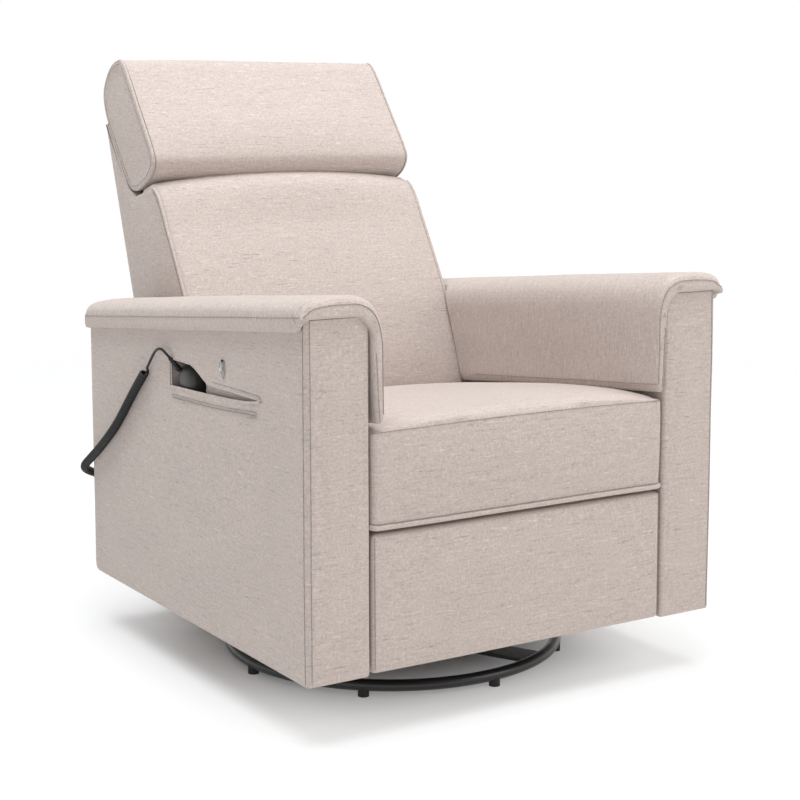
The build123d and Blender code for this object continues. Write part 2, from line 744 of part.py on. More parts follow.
# ---------------------------------------------------------------- back
with BuildPart() as recline_pivot_plates:
    for side in SIDES:
        plate = [
            (RECLINE_Y - 40, 264),
            (RECLINE_Y + 40, 264),
            (RECLINE_Y + 24, RECLINE_Z + 20),
            (RECLINE_Y - 24, RECLINE_Z + 20),
        ]
        slab(side, 270, 4.8, plate)
        cross_pin(side, 238, RECLINE_Y, RECLINE_Z, RECLINE_PIN_R, 32)
save(recline_pivot_plates, "recline_pivot_plates")

STILE_FRONT = 64.0           # stiles, measured forward from the rear plane
STILE_REAR = 24.0
STILE_TOP_Z = 768.0
STILE_X = 214.0


def lean_box(low, high, front, rear):
    """Outline of a bar in the YZ plane that leans with the rear plane."""
    return [
        (back_rear(low) - front, low),
        (back_rear(low) - rear, low),
        (back_rear(high) - rear, high),
        (back_rear(high) - front, high),
    ]


with BuildPart() as recline_brackets:
    foot_y = back_rear(RECLINE_Z) - STILE_REAR
    heel_y = back_rear(420) - STILE_FRONT
    for side in SIDES:
        cross_pin(side, 240, RECLINE_Y, RECLINE_Z, 19, PLATE)
        arm = [
            (RECLINE_Y, RECLINE_Z - 19),
            (foot_y, RECLINE_Z - 19),
            (back_rear(430) - STILE_REAR, 430),
            (heel_y, 430),
            (heel_y - 18, RECLINE_Z + 19),
            (RECLINE_Y, RECLINE_Z + 19),
        ]
        slab(side, 240, PLATE, arm)
        hole = RECLINE_PIN_R + RUNNING
        cross_pin(side, 240, RECLINE_Y, RECLINE_Z, hole, PLATE, Mode.SUBTRACT)
save(recline_brackets, "recline_brackets")

with BuildPart() as back_stiles:
    for side in SIDES:
        slab(side, STILE_X, 239.8 - STILE_X, lean_box(345, STILE_TOP_Z, STILE_FRONT, STILE_REAR))
save(back_stiles, "back_stiles")

with BuildPart() as back_rails:
    for low in (352, 560, 728):
        slab(1, -STILE_X + SKIN_GAP, 2 * (STILE_X - SKIN_GAP), lean_box(low, low + 40, 58, 30))
save(back_rails, "back_rails")

BACK_FRONT = [
    (67, 352),
    (71, 419),
    (117, 535),
    (146, 592),
    (205, 692),
    (249, 757),
    (274, 774),
    (291, 777),
]
CUSHION_REAR = [(320, 768), (336, 752), (253, 575), (178, 400), (174, 352)]
with BuildPart() as back_cushion:
    inner = BACK_HALF - BACK_SIDE - 0.5
    slab(1, -inner, 2 * inner, BACK_FRONT + CUSHION_REAR)
save(back_cushion, "back_cushion")

SIDE_TOP = [(322, 766), (350, 759), (382, 771), (474, 889)]
SIDE_BOTTOM = [(271, 300), (219, 300), (159, 352)]
with BuildPart() as back_side_panels:
    for side in SIDES:
        outline = BACK_FRONT + SIDE_TOP + [(back_rear(880), 880)] + SIDE_BOTTOM
        slab(side, BACK_HALF - BACK_SIDE, BACK_SIDE, outline)
save(back_side_panels, "back_side_panels")

with BuildPart() as back_rear_cover:
    inner = BACK_HALF - BACK_SIDE - 0.5
    slab(1, -inner, 2 * inner, lean_box(BACK_REAR_BOTTOM_Z, 876, 16, 0))
save(back_rear_cover, "back_rear_cover")

HEADREST = [
    (462, 984),
    (425, 1003),
    (397, 999),
    (278, 842),
    (273, 820),
    (288, 797),
    (324, 778),
    (349, 769),
    (378, 781),
    (473, 900),
    (487, 948),
    (480, 972),
]
with BuildPart() as headrest_roll:
    slab(1, -BACK_HALF, 2 * BACK_HALF, HEADREST)
save(headrest_roll, "headrest_roll")

# ---------------------------------------------------------------- handset
LEAN = math.radians(HANDSET_LEAN)
HANDSET_PLANE = Plane(
    origin=HANDSET_AT,
    x_dir=(0, -1, 0),
    z_dir=(-math.cos(LEAN), 0, -math.sin(LEAN)),
)
BUTTON_SPOTS = [(-12, 2), (12, 2), (-12, -22), (12, -22)]
BUTTON_NAMES = ["recline_button", "upright_button", "footrest_out_button", "footrest_in_button"]


HALF_THICK = HANDSET_SIZE[2] / 2
with BuildPart() as handset_back_shell:
    with BuildSketch(HANDSET_PLANE.offset(-HALF_THICK)) as outline:
        Rectangle(HANDSET_SIZE[0], HANDSET_SIZE[1])
        fillet(outline.vertices(), radius=18)
    extrude(amount=HALF_THICK)
save(handset_back_shell, "handset_back_shell")

with BuildPart() as handset_front_shell:
    with BuildSketch(HANDSET_PLANE) as outline:
        Rectangle(HANDSET_SIZE[0], HANDSET_SIZE[1])
        fillet(outline.vertices(), radius=18)
    extrude(amount=HALF_THICK)
    with BuildSketch(HANDSET_PLANE.offset(BUTTON_FACE - BUTTON[2] - 1.6)):
        with Locations(*BUTTON_SPOTS):
            Rectangle(BUTTON[0] + 2 * BUTTON_GAP, BUTTON[1] + 2 * BUTTON_GAP)
    extrude(amount=10, mode=Mode.SUBTRACT)
save(handset_front_shell, "handset_front_shell")

for spot, name in zip(BUTTON_SPOTS, BUTTON_NAMES):
    with BuildPart() as button:
        with BuildSketch(HANDSET_PLANE.offset(BUTTON_FACE - BUTTON[2])):
            with Locations(spot):
                Rectangle(BUTTON[0], BUTTON[1])
        extrude(amount=BUTTON[2])
    save(button, name)

# ---------------------------------------------------------------- handset cord
RELIEF_TOP = Vector(*LEAD_ROUTE[0])
RELIEF_AXIS = (Vector(*LEAD_ROUTE[1]) - RELIEF_TOP).normalized()
with BuildPart() as cord_strain_relief:
    with BuildSketch(Plane(origin=RELIEF_TOP - RELIEF_AXIS * RELIEF_LENGTH, z_dir=RELIEF_AXIS)):
        Circle(5.5)
    with BuildSketch(Plane(origin=RELIEF_TOP, z_dir=RELIEF_AXIS)):
        Circle(3.4)
    loft()
    add(handset_front_shell.part, mode=Mode.SUBTRACT)
    add(handset_back_shell.part, mode=Mode.SUBTRACT)
save(cord_strain_relief, "cord_strain_relief")

with BuildPart() as handset_lead:
    cord_tube(LEAD_ROUTE, LEAD_R)
save(handset_lead, "handset_lead")

with BuildPart() as handset_coil:
    cord_tube(COIL_ROUTE, COIL_R)
save(handset_coil, "handset_coil")

with BuildPart() as handset_tail:
    cord_tube(TAIL_ROUTE, LEAD_R)
save(handset_tail, "handset_tail")
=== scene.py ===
"""Looks of the power glider armchair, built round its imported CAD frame. Metres; the front faces -Y."""

import math

import bmesh
import bpy
import numpy as np
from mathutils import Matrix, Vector, noise


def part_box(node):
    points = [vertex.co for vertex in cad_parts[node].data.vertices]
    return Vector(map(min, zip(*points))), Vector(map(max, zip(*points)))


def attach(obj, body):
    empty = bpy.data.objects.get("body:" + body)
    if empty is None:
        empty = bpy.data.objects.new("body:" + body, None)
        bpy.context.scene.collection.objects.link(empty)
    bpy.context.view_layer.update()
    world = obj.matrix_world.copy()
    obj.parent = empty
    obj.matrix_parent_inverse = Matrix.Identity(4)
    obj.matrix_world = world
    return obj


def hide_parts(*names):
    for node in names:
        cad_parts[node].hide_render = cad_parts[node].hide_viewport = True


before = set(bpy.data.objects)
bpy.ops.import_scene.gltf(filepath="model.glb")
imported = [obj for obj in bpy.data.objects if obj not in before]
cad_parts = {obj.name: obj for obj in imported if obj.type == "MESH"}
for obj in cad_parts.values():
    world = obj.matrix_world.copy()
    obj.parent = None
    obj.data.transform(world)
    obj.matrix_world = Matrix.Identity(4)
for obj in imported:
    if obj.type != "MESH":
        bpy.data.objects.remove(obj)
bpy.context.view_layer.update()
noise.seed_set(1)            # without it the wander of the fabric differs from run to run

# ---------------------------------------------------------------- places, from the frame
SIDES = (-1, 1)
OUTER_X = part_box("right_arm_outer_panel")[1].x
INNER_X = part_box("rear_lower_panel")[1].x + 0.0002
FRONT_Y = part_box("arm_front_panels")[0].y
REAR_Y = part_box("arm_rear_panels")[1].y
HEM_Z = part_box("arm_front_panels")[0].z
TOP_FRONT_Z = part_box("arm_front_panels")[1].z + 0.0019
TOP_REAR_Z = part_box("arm_rear_panels")[1].z + 0.0002
TOP_SLOPE = (TOP_FRONT_Z - TOP_REAR_Z) / (REAR_Y - FRONT_Y)
PAD_LOW, PAD_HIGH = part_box("right_arm_pad")
BACK_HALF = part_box("back_side_panels")[1].x
SEAT_LOW, SEAT_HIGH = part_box("seat_cushion")
FOOT_LOW, FOOT_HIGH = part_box("footrest_panel")


def arm_top(y):
    """Height of an arm's side at y, under its pad."""
    return TOP_FRONT_Z - TOP_SLOPE * (y - FRONT_Y)


# ---------------------------------------------------------------- camera, floor and light
CAMERA_AT = (-1.54543, -2.57929, 0.91677)
CAMERA_YAW = -0.57006
CAMERA_DIP = 0.12105
CAMERA_LENS = 78.28
CAMERA_SHIFT = (-0.0175, -0.10)


def add_camera():
    data = bpy.data.cameras.new("camera")
    data.lens = CAMERA_LENS
    data.sensor_width = 36
    data.shift_x, data.shift_y = CAMERA_SHIFT
    camera = bpy.data.objects.new("camera", data)
    camera.location = CAMERA_AT
    camera.rotation_euler = (math.pi / 2 - CAMERA_DIP, 0, CAMERA_YAW)
    bpy.context.scene.collection.objects.link(camera)
    bpy.context.scene.camera = camera


def add_light(name, at, aim, size, power, tint=(1, 1, 1)):
    data = bpy.data.lights.new(name, "AREA")
    data.shape = "RECTANGLE"
    data.size, data.size_y = size
    data.energy = power
    data.color = tint
    light = bpy.data.objects.new(name, data)
    light.location = at
    light.rotation_mode = "QUATERNION"
    light.rotation_quaternion = (Vector(aim) - Vector(at)).to_track_quat("-Z", "Y")
    bpy.context.scene.collection.objects.link(light)


# ---------------------------------------------------------------- node helpers
class Nodes:
    """A small wrapper for building a node tree."""

    def __init__(self, tree):
        self.tree = tree
        tree.nodes.clear()

    def feed(self, node, inputs):
        """Links sockets to a node's inputs, or sets constants on them, by name or number."""
        for key, value in inputs.items():
            if isinstance(value, bpy.types.NodeSocket):
                self.tree.links.new(value, node.inputs[key])
            else:
                node.inputs[key].default_value = value

    def add(self, kind, inputs=None, **settings):
        node = self.tree.nodes.new(kind)
        for key, value in settings.items():
            setattr(node, key, value)
        self.feed(node, inputs or {})
        return node

    def math(self, operation, *values):
        return self.add("ShaderNodeMath", dict(enumerate(values)), operation=operation).outputs[0]

    def scaled(self, vector, factors):
        return self.add("ShaderNodeVectorMath", {0: vector, 1: factors}, operation="MULTIPLY").outputs[0]

    def split(self, vector):
        """The three numbers of a vector."""
        return self.add("ShaderNodeSeparateXYZ", {0: vector}).outputs

    def noise(self, vector, scale, detail=2.0, roughness=0.5):
        inputs = {"Vector": vector, "Scale": scale, "Detail": detail, "Roughness": roughness}
        return self.add("ShaderNodeTexNoise", inputs).outputs["Fac"]

    def between(self, value, low, high, start=0.0, end=1.0):
        """A number eased from start to end while value goes from low to high."""
        inputs = {"Value": value, "From Min": low, "From Max": high, "To Min": start, "To Max": end}
        return self.add("ShaderNodeMapRange", inputs, interpolation_type="SMOOTHSTEP").outputs["Result"]

    def mix_colour(self, factor, a, b):
        return self.add("ShaderNodeMix", {0: factor, 6: a, 7: b}, data_type="RGBA").outputs[2]

    def mix_vector(self, factor, a, b):
        return self.add("ShaderNodeMix", {0: factor, 4: a, 5: b}, data_type="VECTOR").outputs[1]

    def bump(self, height, strength, distance):
        inputs = {"Height": height, "Strength": strength, "Distance": distance}
        return self.add("ShaderNodeBump", inputs).outputs["Normal"]


def linear(red, green, blue):
    """A screen colour, 0 to 255 a channel, as scene-linear RGBA."""
    channels = []
    for value in (red, green, blue):
        share = value / 255
        channels.append(share / 12.92 if share <= 0.04045 else ((share + 0.055) / 1.055) ** 2.4)
    return (*channels, 1.0)


def shaded(colour, factor):
    return (*[c * factor for c in colour[:3]], 1.0)


def new_material(name):
    """A material, its nodes, its surface shader and the place on the object."""
    material = bpy.data.materials.new(name)
    material.use_nodes = True
    nodes = Nodes(material.node_tree)
    shader = nodes.add("ShaderNodeBsdfPrincipled")
    nodes.add("ShaderNodeOutputMaterial", {0: shader.outputs[0]})
    return material, nodes, shader, nodes.add("ShaderNodeTexCoord").outputs["Object"]


# ---------------------------------------------------------------- materials
FABRIC_TINT = linear(189, 177, 171)
THREAD_PITCH = 0.0016
SLUB_LENGTH = 38.0           # noise cells per metre along a slub
SLUB_THICK = 520.0           # and across it


def fabric(name, lay, tint=FABRIC_TINT):
    """Heathered linen-look cloth. lay is where its slubs run: level, across or by the face's own slope."""
    material, nodes, shader, place = new_material(name)
    level = nodes.scaled(place, (SLUB_LENGTH, SLUB_LENGTH, SLUB_THICK))
    across = nodes.scaled(place, (SLUB_LENGTH, SLUB_THICK, SLUB_LENGTH))
    if lay == "level":
        along = level
    elif lay == "across":
        along = across
    else:
        steep = nodes.math("ABSOLUTE", nodes.split(place.node.outputs["Normal"])[2])
        along = nodes.mix_vector(nodes.between(steep, 0.55, 0.8), level, across)
    slub = nodes.noise(along, 1.0, 3.0, 0.6)
    light_slub = nodes.between(slub, 0.58, 0.74)
    dark_slub = nodes.between(slub, 0.42, 0.27)
    cross_threads = nodes.scaled(place, (SLUB_THICK, SLUB_THICK, SLUB_LENGTH))
    upright_slub = nodes.between(nodes.noise(cross_threads, 0.8), 0.62, 0.76)
    mottle = nodes.noise(place, 260.0, 3.0, 0.7)
    cloud = nodes.noise(place, 5.0)
    pulse = 2 * math.pi / THREAD_PITCH
    waves = [nodes.math("SINE", nodes.math("MULTIPLY", axis, pulse)) for axis in nodes.split(place)]
    weave = nodes.math("ADD", nodes.math("ADD", waves[0], waves[1]), waves[2])

    tone = nodes.math("MULTIPLY_ADD", weave, 0.012, 1.0)
    for value, amount, middle in (
        (light_slub, 0.28, 0.0),
        (dark_slub, -0.30, 0.0),
        (upright_slub, 0.17, 0.0),
        (mottle, 0.80, 0.5),
        (cloud, 0.05, 0.5),
    ):
        step = nodes.math("MULTIPLY", nodes.math("SUBTRACT", value, middle), amount)
        tone = nodes.math("ADD", tone, step)
    warm_tint = (tint[0] * 1.01, tint[1] * 0.99, tint[2] * 0.97, 1.0)
    warm = nodes.mix_colour(mottle, shaded(tint, 0.985), warm_tint)
    toned = nodes.add("ShaderNodeVectorMath", {0: warm, "Scale": tone}, operation="SCALE")

    height = nodes.math("MULTIPLY", weave, 0.22)
    for value, amount in ((light_slub, 0.9), (upright_slub, 0.6), (mottle, 1.1)):
        height = nodes.math("ADD", height, nodes.math("MULTIPLY", value, amount))
    nodes.feed(shader, {
        "Base Color": toned.outputs[0],
        "Roughness": nodes.between(mottle, 0.3, 0.7, 0.82, 0.95),
        "Normal": nodes.bump(height, 0.55, 0.00035),
        "Specular IOR Level": 0.25,
        "Sheen Weight": 0.22,
        "Sheen Roughness": 0.45,
        "Sheen Tint": (1.0, 0.97, 0.94, 1.0),
    })
    return material


def satin(name, tint, rough, metallic=0.0, grain=900.0, bump=0.12, coat=0.0):
    """Painted, plated or moulded surface with a fine grain and small changes of tone and gloss."""
    material, nodes, shader, place = new_material(name)
    wear = 0.06
    broad = nodes.noise(place, 14.0, 3.0, 0.6)
    patch = nodes.between(broad, 0.3, 0.7)
    nodes.feed(shader, {
        "Base Color": nodes.mix_colour(patch, shaded(tint, 1 - wear), shaded(tint, 1 + wear)),
        "Roughness": nodes.between(broad, 0.25, 0.75, rough - 0.05, rough + 0.07),
        "Normal": nodes.bump(nodes.noise(place, grain, 2.0, 0.6), bump, 0.00012),
        "Metallic": metallic,
        "Coat Weight": coat,
        "Coat Roughness": 0.2,
    })
    return material


def wood(name):
    """Sawn pale hardwood, its grain along X."""
    material, nodes, shader, place = new_material(name)
    grain = nodes.noise(nodes.scaled(place, (6.0, 90.0, 90.0)), 1.0, 5.0, 0.65)
    pores = nodes.noise(nodes.scaled(place, (40.0, 900.0, 900.0)), 1.0)
    tone = nodes.between(grain, 0.3, 0.72)
    nodes.feed(shader, {
        "Base Color": nodes.mix_colour(tone, linear(171, 128, 84), linear(206, 168, 122)),
        "Roughness": nodes.between(pores, 0.3, 0.7, 0.55, 0.75),
        "Normal": nodes.bump(nodes.math("ADD", grain, pores), 0.3, 0.0003),
    })
    return material


def clear_plastic(name):
    """Slightly hazy clear plastic."""
    material, nodes, shader, place = new_material(name)
    haze = nodes.noise(place, 60.0)
    nodes.feed(shader, {
        "Base Color": nodes.mix_colour(haze, linear(225, 225, 225), linear(244, 244, 244)),
        "Roughness": nodes.between(haze, 0.3, 0.7, 0.08, 0.2),
        "Transmission Weight": 0.85,
        "IOR": 1.49,
    })
    return material


def floor_material():
    """Pale floor with painted light: it glows more away from the chair, which lightens the chair's cast
    shadow there, and it fades into the studio's white surround.
    """
    material = bpy.data.materials.new("studio_floor")
    material.use_nodes = True
    nodes = Nodes(material.node_tree)
    place = nodes.add("ShaderNodeTexCoord").outputs["Object"]
    reach = nodes.add("ShaderNodeVectorMath", {0: place}, operation="LENGTH").outputs["Value"]
    matte = nodes.add("ShaderNodeBsdfDiffuse", {"Color": (0.97, 0.97, 0.97, 1)}).outputs[0]
    glow = nodes.add("ShaderNodeEmission").outputs[0]
    gone = nodes.add("ShaderNodeBsdfTransparent").outputs[0]
    # painted light: the share of glow, rising from 0.20 m to 0.58 m out, that lightens the chair's cast
    # shadow on the floor
    sweep = nodes.between(reach, 0.20, 0.58, 0.0, 0.62)
    fade = nodes.between(reach, FLOOR_RADIUS * 0.45, FLOOR_RADIUS * 0.98)
    lit = nodes.add("ShaderNodeMixShader", {0: sweep, 1: matte, 2: glow}).outputs[0]
    faded = nodes.add("ShaderNodeMixShader", {0: fade, 1: lit, 2: gone}).outputs[0]
    nodes.add("ShaderNodeOutputMaterial", {0: faded})
    return material


FLOOR_RADIUS = 4.5
WORLD_HIGH = 0.20            # brightness overhead
WORLD_LOW = 1.01             # and near the horizon and below it


def add_stage():
    bpy.ops.mesh.primitive_circle_add(vertices=96, radius=FLOOR_RADIUS, fill_type="NGON")
    floor = bpy.context.object
    floor.name = "studio_floor"
    floor.data.materials.append(floor_material())
    world = bpy.data.worlds.new("studio")
    world.use_nodes = True
    nodes = Nodes(world.node_tree)
    height = nodes.split(nodes.add("ShaderNodeTexCoord").outputs["Generated"])[2]
    strength = nodes.between(height, 0.14, 0.30, WORLD_LOW, WORLD_HIGH)
    glow = nodes.add("ShaderNodeBackground", {"Color": (1, 1, 1, 1), "Strength": strength})
    nodes.add("ShaderNodeOutputWorld", {0: glow.outputs[0]})
    bpy.context.scene.world = world
    bpy.context.scene.view_settings.view_transform = "Standard"
    add_light("key", (2.6, -3.4, 2.3), (0, -0.1, 0.5), (2.4, 2.4), 57, (1.0, 0.955, 0.90))
    add_light("overhead", (-0.45, -0.3, 6.0), (0, -0.1, 0.3), (5.0, 5.0), 490, (0.96, 0.985, 1.0))
    add_light("fill", (-2.6, -2.4, 2.0), (0, -0.1, 0.4), (2.0, 2.0), 9, (0.95, 0.97, 1.0))


add_camera()
add_stage()

oatmeal_level = fabric("oatmeal_level", "level")
oatmeal_across = fabric("oatmeal_across", "across")
oatmeal_auto = fabric("oatmeal_auto", "auto")
# Seam lines: the cover's fabric darkened to 0.60, painted shade of the seam grooves
seam_painted_shade = fabric("oatmeal_seam_painted_shade", "level", shaded(FABRIC_TINT, 0.60))
thread_shade = fabric("oatmeal_thread", "level", shaded(FABRIC_TINT, 0.80))
# Pocket lining: the cover's fabric made 2% lighter, painted light that thins the shade inside the pocket
lightened_lining = fabric("pocket_lining", "level", shaded(FABRIC_TINT, 1.02))
black_paint = satin("black_steel_paint", linear(30, 30, 31), 0.34, grain=700.0, bump=0.2, coat=0.15)
zinc = satin("zinc_plate", linear(176, 178, 182), 0.32, metallic=1.0, grain=400.0)
moulded = satin("moulded_plastic", linear(46, 46, 47), 0.48, grain=1600.0, bump=0.25)
case_plastic = satin("handset_plastic", linear(50, 51, 48), 0.36, grain=2200.0, bump=0.15)
button_plastic = satin("button_plastic", linear(120, 122, 124), 0.42, grain=2200.0)
foot_plastic = satin("foot_plastic", linear(24, 24, 25), 0.6, grain=1100.0, bump=0.3)
cord_rubber = satin("cord_rubber", linear(13, 11, 12), 0.46, grain=1500.0, bump=0.2)
hardwood = wood("hardwood")
clear = clear_plastic("clear_plastic")


# ---------------------------------------------------------------- mesh helpers
def walked_length(path):
    """How far along a path each of its points lies."""
    return np.r_[0, np.cumsum(np.linalg.norm(np.diff(path, axis=0), axis=1))]


def read_at(path, marks):
    """Points of a path at these distances along it."""
    walked = walked_length(path)
    return np.array([np.interp(marks, walked, column) for column in path.T]).T


class Patch:
    """Vertices and faces gathered for one mesh."""

    def __init__(self):
        self.verts = []
        self.faces = []

    def loft(self, rings, closed=True, caps=True, loop=False, skip=()):
        """Quads between neighbouring rings of points."""
        base = len(self.verts)
        count = len(rings[0])
        for ring in rings:
            self.verts.extend(tuple(float(c) for c in point) for point in ring)
        columns = count if closed else count - 1
        rows = len(rings) if loop else len(rings) - 1
        for k in range(rows):
            here = base + k * count
            there = base + (k + 1) % len(rings) * count
            for i in range(columns):
                if (k, i) not in skip:
                    j = (i + 1) % count
                    self.faces.append((here + i, here + j, there + j, there + i))
        if closed and caps and not loop:
            last = base + (len(rings) - 1) * count
            self.faces.append(tuple(range(base + count - 1, base - 1, -1)))
            self.faces.append(tuple(range(last, last + count)))

    def strip(self, first, second):
        """Triangles between two rows of vertex numbers that start and end together."""
        shares = []
        for row in (first, second):
            walked = walked_length(np.array([self.verts[v] for v in row]))
            shares.append(np.r_[walked / walked[-1], 2.0])
        i = j = 0
        while i < len(first) - 1 or j < len(second) - 1:
            if shares[0][i + 1] <= shares[1][j + 1]:
                corners = (first[i], first[i + 1], second[j])
                i += 1
            else:
                corners = (first[i], second[j + 1], second[j])
                j += 1
            if len(set(corners)) == 3:
                self.faces.append(corners)

    def tube(self, path, radius, sides=8, up=None, loop=False):
        """A round tube along a path; radius is one number or one for each point."""
        path = np.asarray(path, float)
        radii = np.broadcast_to(radius, len(path))
        ahead = np.gradient(path, axis=0)
        if loop:
            ahead = np.roll(path, -1, 0) - np.roll(path, 1, 0)
        ahead /= np.linalg.norm(ahead, axis=1)[:, None]
        normal = np.array(up if up is not None else (0.3, 0.5, 0.81), float)
        turn = np.linspace(0, 2 * math.pi, sides, endpoint=False)
        rings = []
        for point, direction, r in zip(path, ahead, radii):
            if up is not None:
                normal = np.array(up, float)
            normal = normal - normal.dot(direction) * direction
            normal /= np.linalg.norm(normal)
            other = np.cross(direction, normal)
            rings.append(point + r * (np.outer(np.cos(turn), normal) + np.outer(np.sin(turn), other)))
        self.loft(rings, loop=loop)

    def stitches(self, path, up):
        """Thread dashes along a line."""
        path = np.asarray(path, float)
        for k in range(int(walked_length(path)[-1] / STITCH_PITCH)):
            marks = (k + np.array((0.0, 0.12, 0.5, 0.88, 1.0)) * STITCH_SHARE) * STITCH_PITCH
            self.tube(read_at(path, marks), THREAD_R * np.array((0.2, 0.9, 1.0, 0.9, 0.2)), 5, up)

    def make(self, name, material, body, sharp=50):
        """The finished object, riding on its body."""
        mesh = bpy.data.meshes.new(name)
        mesh.from_pydata(self.verts, [], self.faces)
        form = bmesh.new()
        form.from_mesh(mesh)
        bmesh.ops.recalc_face_normals(form, faces=form.faces)
        form.to_mesh(mesh)
        form.free()
        mesh.polygons.foreach_set("use_smooth", [True] * len(mesh.polygons))
        mesh.set_sharp_from_angle(angle=math.radians(sharp))
        mesh.materials.append(material)
        obj = bpy.data.objects.new(name, mesh)
        bpy.context.scene.collection.objects.link(obj)
        if body:
            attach(obj, body)
        return obj


STITCH_PITCH = 0.0044
STITCH_SHARE = 0.72          # of the pitch, taken up by thread
THREAD_R = 0.00045
SEAM_OUT = 0.0002            # how far a seam line's middle stands out from the fabric


def seam_lines(name, paths, body, radius=0.0007, up=(1, 0, 0), thread=()):
    """Thin sunk seam lines in fabric darkened as painted shade of the seam grooves, and rows of thread, on a
    cover's surface.
    """
    seams = Patch()
    for path in paths:
        seams.tube(path, radius, 6)
    seams.make(name, seam_painted_shade, body)
    if thread:
        stitching = Patch()
        for path in thread:
            stitching.stitches(path, up)
        stitching.make(name + "_thread", thread_shade, body)


def cushion(name, rings, material, body, nodes, sharp=70, skip=()):
    """A padded piece lofted from rings, standing for CAD nodes."""
    form = Patch()
    form.loft(rings, skip=skip)
    made = form.make(name, material, body, sharp=sharp)
    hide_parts(*nodes)


def shifted(points, x=0.0, y=0.0, z=0.0):
    return [(p[0] + x, p[1] + y, p[2] + z) for p in points]


def hand(side):
    return "left" if side < 0 else "right"


def rounded(corners, step=0.006):
    """A closed outline through corners (a, b, radius), with points about step apart."""
    turned = []
    count = len(corners)
    for i, (a, b, radius) in enumerate(corners):
        corner = np.array((a, b), float)
        back = np.array(corners[i - 1][:2]) - corner
        ahead = np.array(corners[(i + 1) % count][:2]) - corner
        back /= np.linalg.norm(back)
        ahead /= np.linalg.norm(ahead)
        if radius <= 0:
            turned.append(corner)
            continue
        half = math.acos(np.clip(back.dot(ahead), -1, 1)) / 2
        middle = (back + ahead) / np.linalg.norm(back + ahead)
        centre = corner + middle * radius / math.sin(half)
        start = corner + back * radius / math.tan(half) - centre
        end = corner + ahead * radius / math.tan(half) - centre
        angle = math.atan2(start[1], start[0])
        sweep = (math.atan2(end[1], end[0]) - angle + math.pi) % (2 * math.pi) - math.pi
        steps = max(3, math.ceil(abs(sweep) * radius / min(step, radius / 3)))
        for t in np.linspace(angle, angle + sweep, steps + 1):
            turned.append(centre + radius * np.array((math.cos(t), math.sin(t))))
    dense = []
    for here, there in zip(turned, turned[1:] + turned[:1]):
        parts = max(1, math.ceil(np.linalg.norm(there - here) / step))
        dense.extend(here + (there - here) * k / parts for k in range(parts))
    return np.array(dense)

def rounded_box(low_a, high_a, low_b, high_b, radii, step):
    """A rectangle's rounded outline; radii begin at its low corner and go round by way of high_a."""
    corners = ((low_a, low_b), (high_a, low_b), (high_a, high_b), (low_a, high_b))
    return rounded([(*corner, radius) for corner, radius in zip(corners, radii)], step)
def flowing(points, step=0.008, closed=False):
    """Points about step apart on a smooth curve through the given ones."""
    points = np.array(points, float)
    count = len(points)
    spans = count if closed else count - 1
    made = []
    for i in range(spans):
        if closed:
            a, b, c, d = (points[(i + k) % count] for k in (-1, 0, 1, 2))
        else:
            b, c = points[i], points[i + 1]
            a = points[i - 1] if i else 2 * b - c
            d = points[i + 2] if i + 2 < count else 2 * c - b
        parts = max(2, math.ceil(np.linalg.norm(c - b) / step))
        for t in np.arange(parts) / parts:
            square = (2 * a - 5 * b + 4 * c - d) * t**2
            cube = (3 * b - a - 3 * c + d) * t**3
            made.append(0.5 * (2 * b + (c - a) * t + square + cube))
    if not closed:
        made.append(points[-1])
    return np.array(made)


def outward(outline):
    """Unit normals of a closed outline, pointing out of it."""
    ahead = np.roll(outline, -1, 0) - np.roll(outline, 1, 0)
    normal = np.c_[ahead[:, 1], -ahead[:, 0]]
    normal /= np.linalg.norm(normal, axis=1)[:, None]
    following = np.roll(outline, -1, 0)
    area = np.sum(outline[:, 0] * following[:, 1] - following[:, 0] * outline[:, 1])
    return normal if area > 0 else -normal


def eased(distance, radius):
    """How far a round edge of this radius has dropped, at a distance in from the end."""
    near = np.clip(1 - distance / radius, 0, 1)
    return radius * (1 - np.sqrt(1 - near**2))


def smooth_share(share):
    """A share from 0 to 1, eased at both ends."""
    share = min(max(share, 0.0), 1.0)
    return share * share * (3 - 2 * share)
def arch(share):
    """From 0 up to 1 and back to 0, as a share goes from 0 to 1."""
    return 4 * share * (1 - share)

def stations(low, high, radius, step):
    """Places along a length, close together where its ends round over."""
    turn = np.linspace(0, math.pi / 2, 7)
    start = low + radius * (1 - np.cos(turn))
    end = high - radius * (1 - np.cos(turn[::-1]))
    parts = max(2, math.ceil((high - low - 2 * radius) / step))
    middle = np.linspace(start[-1], end[0], parts + 1)[1:-1]
    return np.r_[start, middle, end]


def unevenness(point, amount, scale=7.0):
    """A small smooth wander, the same on every run."""
    return np.array(noise.noise_vector(Vector(point) * scale)) * amount


def nearest(outline, a, b):
    """Index of the outline's point nearest (a, b)."""
    return int(np.argmin(np.hypot(outline[:, 0] - a, outline[:, 1] - b)))


